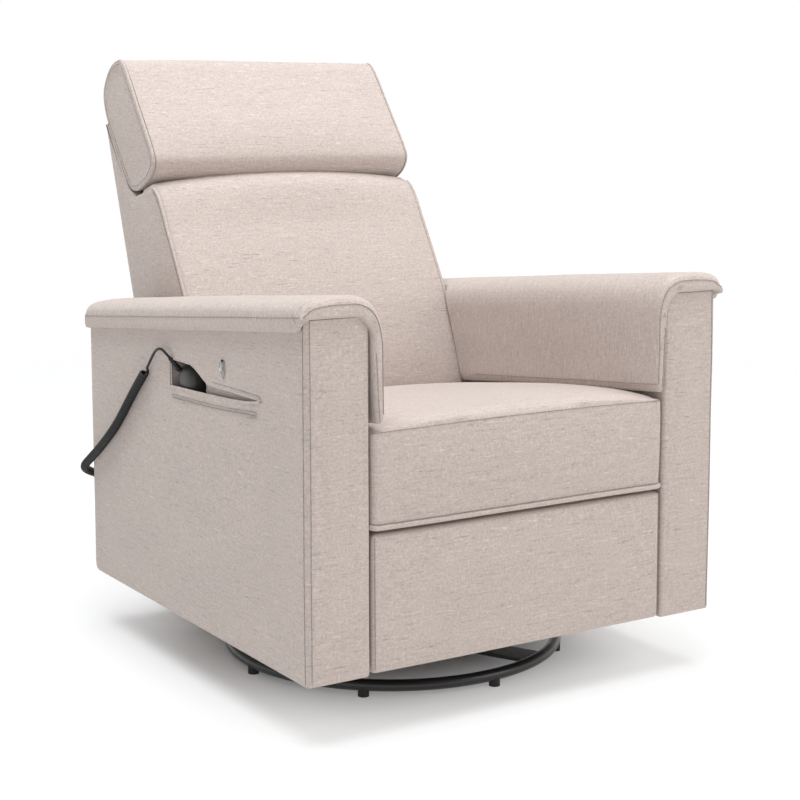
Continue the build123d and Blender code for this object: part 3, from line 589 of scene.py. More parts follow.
# ---------------------------------------------------------------- handset cord
WIRE = 0.0045
COIL_OUTER_R = 0.00775
COIL_PITCH = 0.0049
POINTS_PER_TURN = 18
LEAD_POINTS = 60
TAIL_POINTS = 30
SWING_RAMP = 0.014           # length over which the straight wire moves out to the coil's radius
TURN_RAMP = 0.006            # and over which it starts to turn
LEAD_ROUTE = [
    (-0.3854, -0.0437, 0.5200),
    (-0.3902, -0.0370, 0.5285),
    (-0.3915, -0.0230, 0.5335),
    (-0.3920, -0.0060, 0.5290),
    (-0.3920, 0.0100, 0.5155),
    (-0.3920, 0.0250, 0.5000),
    (-0.3920, 0.0400, 0.4865),
]
COIL_ROUTE = [
    (-0.3920, 0.0920, 0.4430),
    (-0.3920, 0.1610, 0.3790),
    (-0.3920, 0.2380, 0.3270),
    (-0.3920, 0.2900, 0.2970),
    (-0.3920, 0.3140, 0.2820),
    (-0.3800, 0.3310, 0.2700),
    (-0.3520, 0.3310, 0.2580),
]
TAIL_ROUTE = [
    (-0.3380, 0.3310, 0.2520),
    (-0.3250, 0.3220, 0.2475),
    (-0.3220, 0.3090, 0.2465),
]


def spline_points(route, resolution=32):
    """Points read from a smooth spline whose control points are the route."""
    curve = bpy.data.curves.new("route", "CURVE")
    curve.dimensions = "3D"
    spline = curve.splines.new("NURBS")
    spline.points.add(len(route) - 1)
    for point, place in zip(spline.points, route):
        point.co = (*place, 1)
    spline.order_u = 3
    spline.use_endpoint_u = True
    spline.resolution_u = resolution
    carrier = bpy.data.objects.new("route", curve)
    bpy.context.scene.collection.objects.link(carrier)
    mesh = bpy.data.meshes.new_from_object(carrier)
    points = np.array([v.co for v in mesh.vertices], float)
    bpy.data.objects.remove(carrier)
    bpy.data.curves.remove(curve)
    bpy.data.meshes.remove(mesh)
    return points


def cord_path():
    """The lead, the curly run's helix and the tail, as one line of points."""
    line = spline_points(LEAD_ROUTE + COIL_ROUTE + TAIL_ROUTE)
    walked = walked_length(line)

    def reach(place):
        return walked[np.argmin(np.linalg.norm(line - np.array(place), axis=1))]

    coil_start, coil_end = reach(LEAD_ROUTE[-1]), reach(COIL_ROUTE[-1])
    step = COIL_PITCH / POINTS_PER_TURN
    marks = np.r_[
        np.linspace(0, coil_start, LEAD_POINTS, endpoint=False),
        np.arange(coil_start, coil_end - step, step),
        np.linspace(coil_end, walked[-1], TAIL_POINTS),
    ]
    centre = read_at(line, marks)
    ahead = np.gradient(centre, axis=0)
    ahead /= np.linalg.norm(ahead, axis=1)[:, None]
    radius = COIL_OUTER_R - WIRE / 2
    inside = np.minimum(marks - coil_start, coil_end - marks)
    rate = np.array([smooth_share(depth / TURN_RAMP) for depth in inside])
    turns = np.cumsum(rate * np.gradient(marks)) * 2 * math.pi / COIL_PITCH
    normal = np.array((1.0, 0.0, 0.0))
    path = []
    for depth, turn, point, direction in zip(inside, turns, centre, ahead):
        normal = normal - normal.dot(direction) * direction
        normal /= np.linalg.norm(normal)
        other = np.cross(direction, normal)
        swing = radius * smooth_share(1 + depth / SWING_RAMP)
        path.append(point + swing * (math.cos(turn) * normal + math.sin(turn) * other))
    return np.array(path)


def add_cord():
    path = cord_path()
    tube = Patch()
    tube.tube(path, WIRE / 2, 10)
    cord = tube.make("handset_cord", cord_rubber, "chair_frame", sharp=80)
    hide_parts("handset_lead", "handset_coil", "handset_tail")


add_cord()


# ---------------------------------------------------------------- arm covers
ARM_BULGE = 0.0025
ARM_FRONT_BULGE = 0.0035
ARM_STEP = 0.009
FRONT_CORNER = 0.007         # round of an arm's outer corner at the front
HEM_ROUND = 0.0045
HEM_TUCK = [(0.012, 0.0), (HEM_ROUND, 0.0), (0.0013, 0.0013)]    # inset and rise of the rows turned under
REAR_HEM_ROUND = 0.020
PLAIN_BAND = (0.480, 0.493)  # the right arm's rows at the height of the left arm's pocket
MOUTH_REAR_Y = -0.040
MOUTH_TIP_Y = -0.346
MOUTH_LOW = [(-0.346, 0.490), (-0.303, 0.484), (-0.245, 0.480), (-0.145, 0.476), (-0.040, 0.473)]
MOUTH_TOP = [
    (-0.346, 0.491), (-0.323, 0.493), (-0.190, 0.4935), (-0.165, 0.497),
    (-0.140, 0.508), (-0.118, 0.516), (-0.100, 0.518), (-0.040, 0.518),
]


def side_swell(y, z):
    """How far an arm's fabric stands out from its outer board."""
    across = (y - FRONT_Y) / (REAR_Y - FRONT_Y)
    up = (z - HEM_Z) / (arm_top(y) - HEM_Z)
    return arch(across) * min(1.0, arch(up)) * ARM_BULGE


def mouth_edges(y):
    """Lower and upper edge of the pocket's mouth at y."""
    low = np.interp(y, *zip(*MOUTH_LOW))
    top = np.interp(y, *zip(*MOUTH_TOP))
    return low, max(top, low + 0.001)


def cover_rows():
    """Rows of an arm's cover, hem first: the band that each row is in, and its share of that band."""
    rows = [("tuck", k) for k in range(len(HEM_TUCK))]
    rows += [("low", t) for t in np.r_[0.004, np.linspace(0.012, 1, 42)]]
    rows += [("mouth", t) for t in np.linspace(0, 1, 4)[1:]]
    return rows + [("high", t) for t in np.linspace(0, 1, 9)[1:]]


def cover_ring(band, t, outline, normals, left):
    """One row of an arm's cover."""
    ring = []
    for (x, y), (nx, ny) in zip(outline, normals):
        hem = HEM_Z + eased(REAR_Y - y, REAR_HEM_ROUND)
        if band == "tuck":
            inset, rise = HEM_TUCK[t]
            ring.append((x - nx * inset, y - ny * inset, hem + rise))
            continue
        low, top = mouth_edges(y) if left else PLAIN_BAND
        if band == "low":
            z = hem + HEM_ROUND + (low - hem - HEM_ROUND) * t
        elif band == "mouth":
            z = low + (top - low) * t
        else:
            edge = eased(abs(x) - INNER_X, 0.016) + eased(OUTER_X - abs(x), 0.007)
            rise = (0.0105 - edge) * t**3 if ny < -0.3 else 0.0
            z = top + (arm_top(y) - 0.001 - top) * t + rise
        up = (z - HEM_Z) / (arm_top(y) - HEM_Z)
        middle = 1 - ((abs(x) - (OUTER_X + INNER_X) / 2) / ((OUTER_X - INNER_X) / 2)) ** 2
        swell = side_swell(y, z) * abs(nx) ** 4
        swell += ARM_FRONT_BULGE * max(middle, 0) * min(1.0, 2 * arch(up)) * abs(ny) ** 4
        if left and nx < -0.9 and MOUTH_TIP_Y < y < MOUTH_REAR_Y and band == "low":
            arc = math.sin(math.pi * (y - MOUTH_TIP_Y) / (MOUTH_REAR_Y - MOUTH_TIP_Y))
            swell += 0.0022 * math.exp(-(((z - low + 0.003) / 0.009) ** 2)) * arc
        wander = unevenness((x, y, z), 0.0007)
        ring.append((x + nx * swell + wander[0], y + ny * swell + wander[1], z))
    return ring


def arm_cover(side):
    """Fabric over one arm's boards: rounded upright corners, a little bulge, and the pocket's mouth."""
    left = side < 0
    outer, inner = side * OUTER_X, side * INNER_X
    front = [(inner, FRONT_Y, 0.006), (outer, FRONT_Y, FRONT_CORNER)]
    outline = rounded([front[1], (outer, REAR_Y, 0.012), (inner, REAR_Y, 0.006), front[0]], ARM_STEP)
    normals = outward(outline)
    rows = cover_rows()
    rings = [cover_ring(band, t, outline, normals, left) for band, t in rows]
    skip = set()
    if left:
        mouth = [k - 1 for k, (band, t) in enumerate(rows) if band == "mouth"]
        for i, here in enumerate(outline):
            y = (here[1] + outline[(i + 1) % len(outline)][1]) / 2
            if normals[i][0] < -0.95 and MOUTH_TIP_Y < y < MOUTH_REAR_Y:
                skip.update((k, i) for k in mouth)
    name = hand(side) + "_arm_cover"
    nodes = ["arm_inner_panels", "arm_front_panels", "arm_rear_panels", hand(side) + "_arm_outer_panel"]
    cushion(name, rings, oatmeal_level, "chair_frame", nodes, 50, skip)

    body_rows = rings[len(HEM_TUCK) :]
    lines = []
    for x, y in ((outer, FRONT_Y + FRONT_CORNER), (outer - side * FRONT_CORNER, FRONT_Y)):
        i = nearest(outline, x, y)
        nx, ny = normals[i] * SEAM_OUT
        lines.append(shifted([ring[i] for ring in body_rows], nx, ny))
    rear = nearest(outline, outer, REAR_Y)
    lines.append([ring[rear] for ring in body_rows])
    seam_lines(name + "_seams", lines, "chair_frame", thread=lines[:2], up=(side, -1, 0))


def add_pocket():
    """The pocket's bag behind its mouth, the mouth's rolled edges and the rows of stitches under it."""
    low_edge = flowing([(-OUTER_X - 0.0012, y, z) for y, z in MOUTH_LOW], 0.006)
    top_edge = flowing([(-OUTER_X - 0.0006, y, z) for y, z in MOUTH_TOP], 0.006)
    rear_heights = np.linspace(MOUTH_LOW[-1][1], MOUTH_TOP[-1][1], 8)
    lips = Patch()
    lips.tube(low_edge, 0.0022, 10, (1, 0, 0))
    lips.tube(top_edge, 0.0015, 8, (1, 0, 0))
    lips.tube([(-OUTER_X - 0.0006, MOUTH_REAR_Y, z) for z in rear_heights], 0.0015, 8, (1, 0, 0))
    lips.make("pocket_lips", oatmeal_level, "chair_frame")
    low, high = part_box("pocket_bag")
    back_x = high.x - 0.004
    radii = (0.02, 0.02, 0.012, 0.012)
    outline = rounded_box(low.y + 0.004, high.y - 0.003, low.z + 0.003, high.z - 0.006, radii, 0.012)
    centre = outline.mean(0)
    shallow = -OUTER_X + 0.006

    def wall(y, z):
        """X of the bag's back wall: close behind the mouth, and deeper round the handset."""
        return shallow + (back_x - shallow) * smooth_share((y + 0.152) / 0.040)

    rings = [
        [(-OUTER_X - side_swell(*p) + 0.0012, *p) for p in outline],
        [(-OUTER_X + 0.0035, *p) for p in outline],
    ]
    for share in (1.0, 0.97, 0.85, 0.7, 0.55, 0.4, 0.25, 0.1):
        rings.append([(wall(*p), *p) for p in centre + (outline - centre) * share])
    bag = Patch()
    bag.loft(rings, caps=False)
    back = len(bag.verts) - len(outline)
    bag.faces.append(tuple(range(back, back + len(outline))))
    made = bag.make("pocket_lining", lightened_lining, "chair_frame")
    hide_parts("pocket_bag")
    rows = []
    for drop in (0.0125, 0.0175):
        line = [(-OUTER_X - 0.0024, -0.336, 0.4855 - drop)]
        line += [(-OUTER_X - 0.0028, y, z - drop) for y, z in MOUTH_LOW[1:-1]]
        line += [(-OUTER_X - 0.0020, -0.042, 0.473 - drop)]
        rows.append(flowing(line, 0.004))
    seam_lines("pocket_stitching", rows, "chair_frame", radius=0.0006, thread=rows)
    above = flowing([(-OUTER_X - 0.0012, y, z + 0.006) for y, z in MOUTH_TOP[:3]], 0.006)
    tip = [(-OUTER_X - 0.0012, -0.353, 0.490)]
    seam_lines("pocket_top_seam", [np.r_[tip, above]], "chair_frame", radius=0.0006)


# ---------------------------------------------------------------- arm pads
PAD_THICK = PAD_HIGH.z - arm_top(PAD_LOW.y)
PAD_FRONT_ROUND = 0.018
PAD_FRONT_LIFT = 0.011
# Places on the pad's section: u outwards from the middle of the chair, w up from the arm's top
SIDE_SEAM = (0.3918, 0.015)
LEAF_SEAM = (0.2550, -0.133)
LEAF_HEM = (0.2668, -0.1400)
LEAF_REAR_Y = 0.03           # where the leaf's seam ends


def pad_outline():
    """Section of an arm pad, as (u, w) points."""
    lip = 0.0055
    control = [
        (0.3920, 0.006), SIDE_SEAM, (0.3890, 0.027), (0.3770, 0.0365), (0.3500, 0.0412), (0.3200, PAD_THICK),
        (0.2960, 0.0410), (0.2765, 0.0330), (0.2630, 0.0170), (0.2573, -0.004), (0.2562, -0.035),
        (0.2556, -0.090), LEAF_SEAM, (0.2578, -0.1435), (0.2630, -0.1462), LEAF_HEM, (0.2690, -0.110),
        (0.2728, -0.040), (0.2735, -0.020), (0.2765, -0.008), (0.2835, -0.0015), (0.2920, 0.0),
    ]
    smooth = flowing(control, 0.0055)
    under = [(u, 0.0) for u in np.linspace(0.298, OUTER_X + 0.0008, 14)] + [(OUTER_X + 0.0015, -lip)]
    lip_round = [(0.3850, -lip - 0.0012), (0.3900, -lip + 0.0008), (0.3916, 0.0)]
    return np.r_[smooth, under, lip_round]


def lifted(u, w, lift):
    """Height of a point under the pad's front edge, where the arm's front panel rises into the pad."""
    if u > 0.375:
        return 0.012 - (0.012 - w) * (1 - lift / 0.0187)
    return w + lift * smooth_share((u - 0.276) / 0.024)


def arm_pad(side):
    """A thick pad that rolls over the arm's inner edge into a hanging leaf."""
    outline = pad_outline()
    normals = outward(outline)
    count = len(outline)
    tip = int(np.argmin(outline[:, 1]))
    lip = int(np.argmin(np.where(outline[:, 0] > 0.33, outline[:, 1], 1.0)))
    start_w = np.where(outline[:, 0] < 0.31, -0.030, SIDE_SEAM[1] - 0.004)
    span_w = np.where(outline[:, 0] < 0.31, 0.066, 0.012)
    top_share = np.clip((outline[:, 1] - start_w) / span_w, 0, 1)
    top_share[tip : lip + 1] = 0
    front_round = 0.004 + (PAD_FRONT_ROUND - 0.004) * top_share
    rear_round = 0.008 + 0.006 * top_share
    folded = np.zeros(count, bool)
    folded[tip:] = True
    folded[: int(np.argmax(outline[:, 1] > 0.012))] = True
    rings = []
    for y in stations(PAD_LOW.y, PAD_HIGH.y, 0.024, 0.011):
        front_in = np.array([eased(y - PAD_LOW.y, r) for r in front_round])
        lift = PAD_FRONT_LIFT * (1 - smooth_share((y - FRONT_Y - 0.001) / 0.012))
        rear_in = np.array([eased(PAD_HIGH.y - y, r) for r in rear_round])
        along = (y - PAD_LOW.y) / (PAD_HIGH.y - PAD_LOW.y)
        ring = []
        for (u, w), (nu, nw), back, low in zip(outline, normals, front_in + rear_in, folded):
            crown = 0.0015 * math.sin(math.pi * along) if w > SIDE_SEAM[1] else 0.0
            wander = unevenness((side * u, y, w), 0.0008)
            point_u = u - nu * back
            point_w = w - nw * back + crown
            if low and w > -0.03:
                point_w = lifted(point_u, point_w, lift)
            ring.append((side * point_u + wander[0], y + wander[1] * 0.5, arm_top(y) + point_w + wander[2]))
        rings.append(ring)
    inner_face = []
    for (u, w), (nu, nw), back, low in zip(outline, normals, front_round, folded):
        depth = back + 0.0007
        point_u, point_w = u - nu * depth, w - nw * depth
        if low and w > -0.03:
            point_w = lifted(point_u, point_w, PAD_FRONT_LIFT)
        inner_face.append((side * point_u, PAD_LOW.y - 0.0004, arm_top(PAD_LOW.y) + point_w))
    pad = Patch()
    pad.loft([inner_face] + rings, caps=False)
    over = [(lip + k) % count for k in range((tip - lip) % count + 1)]
    under = list(range(lip, tip - 1, -1))
    for first_vertex in (0, len(rings) * count):
        pad.strip([first_vertex + i for i in over], [first_vertex + i for i in under])
    name = hand(side) + "_arm_rest"
    made = pad.make(name, oatmeal_across, None, sharp=70)
    cut_clear_of_back(made, side)
    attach(made, "chair_frame")
    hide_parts(hand(side) + "_arm_pad")

    def line_at(place):
        """A line along the pad, over this place on its section."""
        i = nearest(outline, *place)
        nu, nw = normals[i] * SEAM_OUT
        return shifted([ring[i] for ring in rings[2:-2]], x=side * nu, z=nw)

    front_face = rings[1][nearest(outline, *SIDE_SEAM) : nearest(outline, *LEAF_SEAM) + 1]
    leaf_hem = rings[0][nearest(outline, *LEAF_HEM) : nearest(outline, 0.2728, -0.040)]
    front, front_top = PAD_LOW.y, arm_top(PAD_LOW.y)
    mitre = [
        (side * 0.3921, front + 0.023, front_top + SIDE_SEAM[1]),
        (side * 0.3922, front + 0.017, front_top + 0.0095),
        (side * 0.3919, front + 0.013, front_top + 0.0058),
    ]
    leaf_side = [p for p in line_at(LEAF_SEAM) if p[1] < LEAF_REAR_Y]
    front_lines = [shifted(points, y=-0.0003) for points in (front_face, leaf_hem)]
    lines = [line_at(SIDE_SEAM), *front_lines, flowing(mitre, 0.003), leaf_side]
    seam_lines(name + "_seams", lines, "chair_frame", up=(0.3, -1, 0.4))


# The back's front edge seen from the side, as (y, z) points from its foot up
BACK_FRONT = [
    (0.067, 0.352), (0.071, 0.419), (0.117, 0.535), (0.146, 0.592),
    (0.205, 0.692), (0.249, 0.757), (0.274, 0.774), (0.291, 0.777),
]


def cut_clear_of_back(obj, side):
    """Cuts a pad along the back's front edge, where the back passes inside the arm."""
    clearance = 0.006
    outline = [(y - clearance, z) for y, z in BACK_FRONT[:-2]] + [(0.45, 0.757), (0.45, 0.352)]
    near, far = side * 0.20, side * (INNER_X - 0.002)
    cutter = Patch()
    cutter.loft([[(x, y, z) for y, z in outline] for x in (near, far)])
    tool = cutter.make("cutter", oatmeal_level, None)
    modifier = obj.modifiers.new("cut", "BOOLEAN")
    modifier.operation = "DIFFERENCE"
    modifier.solver = "MANIFOLD"
    modifier.object = tool
    cut = bpy.data.meshes.new_from_object(obj.evaluated_get(bpy.context.evaluated_depsgraph_get()))
    obj.modifiers.clear()
    obj.data = cut
    cut.set_sharp_from_angle(angle=math.radians(60))
    bpy.data.objects.remove(tool)


for side in SIDES:
    arm_cover(side)
    arm_pad(side)
add_pocket()


# ---------------------------------------------------------------- seat and footrest
def across_loft(outline, half, edge_round, step, shape):
    """Rings of a (y, z) outline from -half to half, its ends rounded over; shape moves each point."""
    normals = outward(outline)
    rings = []
    for x in stations(-half, half, edge_round, step):
        inset = eased(half - abs(x), edge_round)
        ring = []
        for (y, z), (ny, nz) in zip(outline, normals):
            dy, dz = shape(x, y, z, ny, nz)
            wander = unevenness((x, y, z), 0.0009, 5.0)
            ring.append((x, y - ny * inset + dy + wander[1], z - nz * inset + dz + wander[2]))
        rings.append(ring)
    return rings


SEAT_SEAM_Z = 0.457
SEAT_STRIP_Z = SEAT_LOW.z + 0.010


def add_seat():
    half = SEAT_HIGH.x
    front, rear, bottom = SEAT_LOW.y, SEAT_HIGH.y, SEAT_LOW.z
    top = [
        (front + 0.001, SEAT_STRIP_Z), (front - 0.001, 0.385), (front + 0.0005, SEAT_SEAM_Z),
        (front + 0.010, 0.4655), (front + 0.035, 0.4705), (front + 0.120, 0.4700), (front + 0.252, 0.4600),
        (front + 0.400, 0.4420), (front + 0.493, 0.4290), (rear - 0.004, 0.4170), (rear, 0.4000),
        (rear, 0.3300),
    ]
    lower = [(rear - 0.010, bottom), (front + 0.010, bottom), (front + 0.0035, bottom + 0.004)]
    outline = np.r_[flowing(top, 0.009), lower]

    def shape(x, y, z, ny, nz):
        share = abs(x) / half
        fall = max(nz, 0) * (0.013 * share**2.6)
        sink = max(nz, 0) * 0.004 * math.sin(math.pi * np.clip((y - front) / 0.54, 0, 1)) * (1 - share**2)
        up = np.clip((z - SEAT_STRIP_Z) / (SEAT_SEAM_Z - SEAT_STRIP_Z), 0, 1)
        front_puff = 0.0045 * (1 - share**4) * max(-ny, 0) ** 3 * math.sin(math.pi * up)
        return -front_puff, -fall - sink

    rings = across_loft(outline, half, 0.010, 0.012, shape)
    cushion("seat_pad", rings, oatmeal_auto, "chair_frame", ["seat_cushion"])
    seam = nearest(outline, front, SEAT_SEAM_Z)
    strip = nearest(outline, front + 0.001, SEAT_STRIP_Z)
    lines = [shifted([ring[i] for ring in rings[1:-1]], y=-SEAM_OUT) for i in (seam, strip)]
    seam_lines("seat_seams", lines, "chair_frame", up=(0, 0, 1))
    welt = Patch()
    welt.tube(shifted(lines[1], y=0.0005, z=-0.0052), 0.0042, 10, (0, 0, 1))
    welt.make("seat_front_welt", oatmeal_level, "chair_frame")


def add_footrest():
    low, high = FOOT_LOW, FOOT_HIGH
    outline = rounded_box(low.y, high.y - 0.001, low.z, high.z, (0.009, 0.003, 0.003, 0.006), 0.008)

    def shape(x, y, z, ny, nz):
        share = abs(x) / high.x
        up = np.clip((z - low.z) / (high.z - low.z), 0, 1)
        return -0.0045 * (1 - share**4) * arch(up) ** 0.6 * max(-ny, 0), 0.0

    rings = across_loft(outline, high.x - 0.0005, 0.007, 0.012, shape)
    cushion("footrest_pad", rings, oatmeal_auto, "footrest", ["footrest_panel"])
    borders = []
    for ring in (rings[4], rings[-5]):
        border = shifted([p for p in ring if p[1] < low.y + 0.002], y=-SEAM_OUT)
        borders.append(sorted(border, key=lambda p: p[2]))
    seam_lines("footrest_seams", borders, "footrest")


add_seat()
add_footrest()


# ---------------------------------------------------------------- back and headrest
BACK_PUFF = 0.012
REAR_LEAN = 0.3522
REAR_FOOT = (0.271, 0.300)
REAR_TOP_Z = 0.884
REAR_BOW = 0.004             # how far the rear cover bulges


def rear_y(z):
    """Y of the back's rear face at height z."""
    return REAR_FOOT[0] + REAR_LEAN * (z - REAR_FOOT[1])


def add_back_cushion():
    front = flowing(BACK_FRONT, 0.010)
    foot_z, top_z = 0.37, 0.777
    rear = [(0.320, 0.768), (0.336, 0.752), (0.253, 0.575), (0.178, 0.400), (0.174, 0.352)]
    outline = np.r_[front, rear]

    def shape(x, y, z, ny, nz):
        share = abs(x) / BACK_HALF
        up = np.clip((z - foot_z) / (top_z - foot_z), 0, 1)
        facing = max(-ny * 0.9 + nz * 0.45, 0)
        puff = BACK_PUFF * (1 - share**3.2) * facing * (0.55 + 0.45 * math.sin(math.pi * up) ** 0.7)
        lumbar = 0.006 * math.exp(-(((z - 0.47) / 0.07) ** 2)) * (1 - share**2)
        crown = (0.005 + 0.016 * (1 - share**2)) * smooth_share((z - 0.70) / 0.06)
        return (puff + lumbar) * ny, puff * nz + crown

    rings = across_loft(outline, BACK_HALF - 0.002, 0.009, 0.012, shape)
    cushion("back_pad", rings, oatmeal_level, "backrest", ["back_cushion"])
    welts = Patch()
    edges = []
    for ring, side in ((rings[2], -1), (rings[-3], 1)):
        path = ring[1 : len(front) - 2]
        welts.tube(shifted(path, side * 0.0012, -0.0016, 0.0006), 0.0030, 10, (1, 0, 0))
        edges.append(shifted(path, -side * 0.0035, -0.0012, 0.0004))
        edges.append(shifted(path, side * 0.0040, 0.0010))
    welts.make("back_welts", oatmeal_level, "backrest")
    seam_lines("back_seams", edges, "backrest", 0.0008)


def back_side_cover(side, outline):
    """One side of the back: a padded board with a round outer edge."""
    normals = outward(outline)
    edge_round = 0.005
    rings = [[(side * 0.2485, *p) for p in outline]]
    for angle in np.linspace(0, 1, 6) * math.pi / 2:
        inset = edge_round * (1 - math.cos(angle))
        reach = side * BACK_HALF - side * edge_round * (1 - math.sin(angle))
        rings.append([(reach, *(p - n * inset)) for p, n in zip(outline, normals)])
    name = "back_side_cover_" + hand(side)
    cushion(name, rings, oatmeal_level, "backrest", ["back_side_panels"], 45)


def add_back_sides():
    setback = 0.006
    front = flowing([(y + setback, z) for y, z in BACK_FRONT[:-1]], 0.012)
    top = [(0.300, 0.771), (0.322, 0.766), (0.350, 0.759), (0.382, 0.771), (0.474, 0.889)]
    heel = [(rear_y(z) + 0.002, z) for z in (REAR_TOP_Z, REAR_FOOT[1])] + [(0.219, 0.300), (0.159, 0.352)]
    for side in SIDES:
        back_side_cover(side, np.r_[front, top, heel])


def add_rear_cover():
    low_z, high_z = REAR_FOOT[1], REAR_TOP_Z
    thick = 0.016
    panel = [
        (rear_y(low_z) - thick, low_z, 0.003),
        (rear_y(low_z) + 0.001, low_z, 0.007),
        (rear_y(high_z) + 0.001, high_z, 0.007),
        (rear_y(high_z) - thick, high_z, 0.003),
    ]

    def shape(x, y, z, ny, nz):
        share = abs(x) / BACK_HALF
        up = np.clip((z - low_z) / (high_z - low_z), 0, 1)
        return REAR_BOW * (1 - share**4) * arch(up) ** 0.5 * max(ny, 0), 0.0

    rings = across_loft(rounded(panel, 0.012), BACK_HALF - 0.003, 0.007, 0.014, shape)
    cushion("rear_cover", rings, oatmeal_level, "backrest", ["back_rear_cover"])
    lines = []
    for x in (-BACK_HALF + 0.012, BACK_HALF - 0.012):
        lines.append([(x, rear_y(z) + 0.0012, z) for z in np.linspace(low_z + 0.01, high_z - 0.01, 60)])
    span = np.linspace(-BACK_HALF + 0.010, BACK_HALF - 0.010, 60)
    for z in (low_z + 0.022, 0.640):
        bow = REAR_BOW * arch((z - low_z) / (high_z - low_z)) ** 0.5
        lines.append([(x, rear_y(z) + 0.0012 + bow * (1 - (abs(x) / BACK_HALF) ** 4), z) for x in span])
    upright = (0, 1 / math.hypot(1, REAR_LEAN), 0.3)
    seam_lines("rear_cover_seams", lines, "backrest", 0.0008, upright, thread=lines)


# The headrest's section, as (y, z) points
HEADREST = [
    (0.462, 0.984), (0.425, 1.002), (0.395, 0.994), (0.335, 0.916), (0.282, 0.846), (0.273, 0.820),
    (0.290, 0.796), (0.324, 0.778), (0.352, 0.770), (0.380, 0.782), (0.430, 0.842), (0.474, 0.899),
    (0.487, 0.945),
]


def add_headrest():
    outline = flowing(HEADREST, 0.009, closed=True)
    normals = outward(outline)
    centre = outline.mean(0)

    def shape(x, y, z, ny, nz):
        share = abs(x) / BACK_HALF
        low_front = max(-ny * 0.7 - nz * 0.5, 0)
        swell = 0.0045 * (1 - share**3)
        belly = 0.012 * max(-ny, 0) * math.exp(-(((z - 0.888) / 0.050) ** 2)) * (1 - share**4)
        return ny * (swell + belly) - 0.003 * low_front, nz * (swell * (0.4 if nz > 0.6 else 1.0) + belly)

    rings = across_loft(outline, BACK_HALF, 0.006, 0.012, shape)
    welts = Patch()
    lines = []
    for side in SIDES:
        beside = min(rings, key=lambda ring: abs(ring[0][0] - side * (BACK_HALF - 0.0085)))
        lines.append((np.array(beside) + np.c_[np.zeros(len(outline)), normals * 0.0003]).tolist())
        lines.append([(side * (BACK_HALF - 0.0006), *p) for p in outline - normals * 0.0062])
        rim = [(side * (BACK_HALF - 0.0035), *p) for p in outline - normals * 0.0010]
        welts.tube(rim, 0.0031, 10, (1, 0, 0), loop=True)
    puff = 0.0035
    for end, side in ((0, -1), (-1, 1)):
        rim = np.array(rings[end])
        middle = np.array((rim[0][0], *centre))
        caps = []
        for share in (0.93, 0.8, 0.6, 0.35, 0.12):
            ring = middle + (rim - middle) * share
            ring[:, 0] = rim[0][0] - side * 0.0035 + side * puff * (1 - share**2) * 1.6
            caps.append(ring.tolist())
        rings = caps[::-1] + rings if side < 0 else rings + caps
    cushion("headrest_pad", rings, oatmeal_level, "backrest", ["headrest_roll"])
    welts.make("headrest_welts", oatmeal_level, "backrest")
    seam_lines("headrest_seams", [line + line[:2] for line in lines], "backrest", 0.0009)


add_back_cushion()
add_back_sides()
add_rear_cover()
add_headrest()


# ---------------------------------------------------------------- rear lower panel
def add_rear_panel():
    low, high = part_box("rear_lower_panel")
    outline = rounded_box(low.y, high.y, low.z, high.z, (0.003, 0.006, 0.006, 0.003), 0.010)

    def shape(x, y, z, ny, nz):
        up = np.clip((z - low.z) / (high.z - low.z), 0, 1)
        return -0.0015 * arch(up) * (1 - abs(x) / high.x) * max(ny, 0), 0.0

    rings = across_loft(outline, high.x, 0.004, 0.014, shape)
    cushion("rear_panel_cover", rings, oatmeal_level, "chair_frame", ["rear_lower_panel"], 60)
    span = np.linspace(-high.x + 0.012, high.x - 0.012, 50)
    lines = [[(x, high.y + SEAM_OUT, z) for x in span] for z in (low.z + 0.012, high.z - 0.012)]
    seam_lines("rear_panel_seams", lines, "chair_frame", 0.0007, (0, 0, 1), thread=lines)


add_rear_panel()


# ---------------------------------------------------------------- handset, its relief and the hanger
LEAN = math.radians(6)
CASE_AT = np.array((-0.357, -0.0775, 0.436))
CASE_WIDE = 0.057
CASE_LONG = 0.148
CASE_THICK = 0.031
CASE_OUT = np.array((-math.cos(LEAN), 0.0, -math.sin(LEAN)))
CASE_UP = np.array((-math.sin(LEAN), 0.0, math.cos(LEAN)))
CASE_ACROSS = np.array((0.0, -1.0, 0.0))
RING_POINTS = 48
ROUNDNESS = 3.0              # power of the case's section: 2 is an ellipse, and more is squarer


def case_ring(height, wide, thick, shift=0.0):
    """A rounded section across the handset, at a height along it."""
    ring = []
    for angle in np.linspace(0, 2 * math.pi, RING_POINTS, endpoint=False):
        c, s = math.cos(angle), math.sin(angle)
        across = wide * math.copysign(abs(c) ** (2 / ROUNDNESS), c)
        out = thick * math.copysign(abs(s) ** (2 / ROUNDNESS), s)
        ring.append(CASE_AT + CASE_UP * height + CASE_ACROSS * across + CASE_OUT * (out + shift))
    return ring


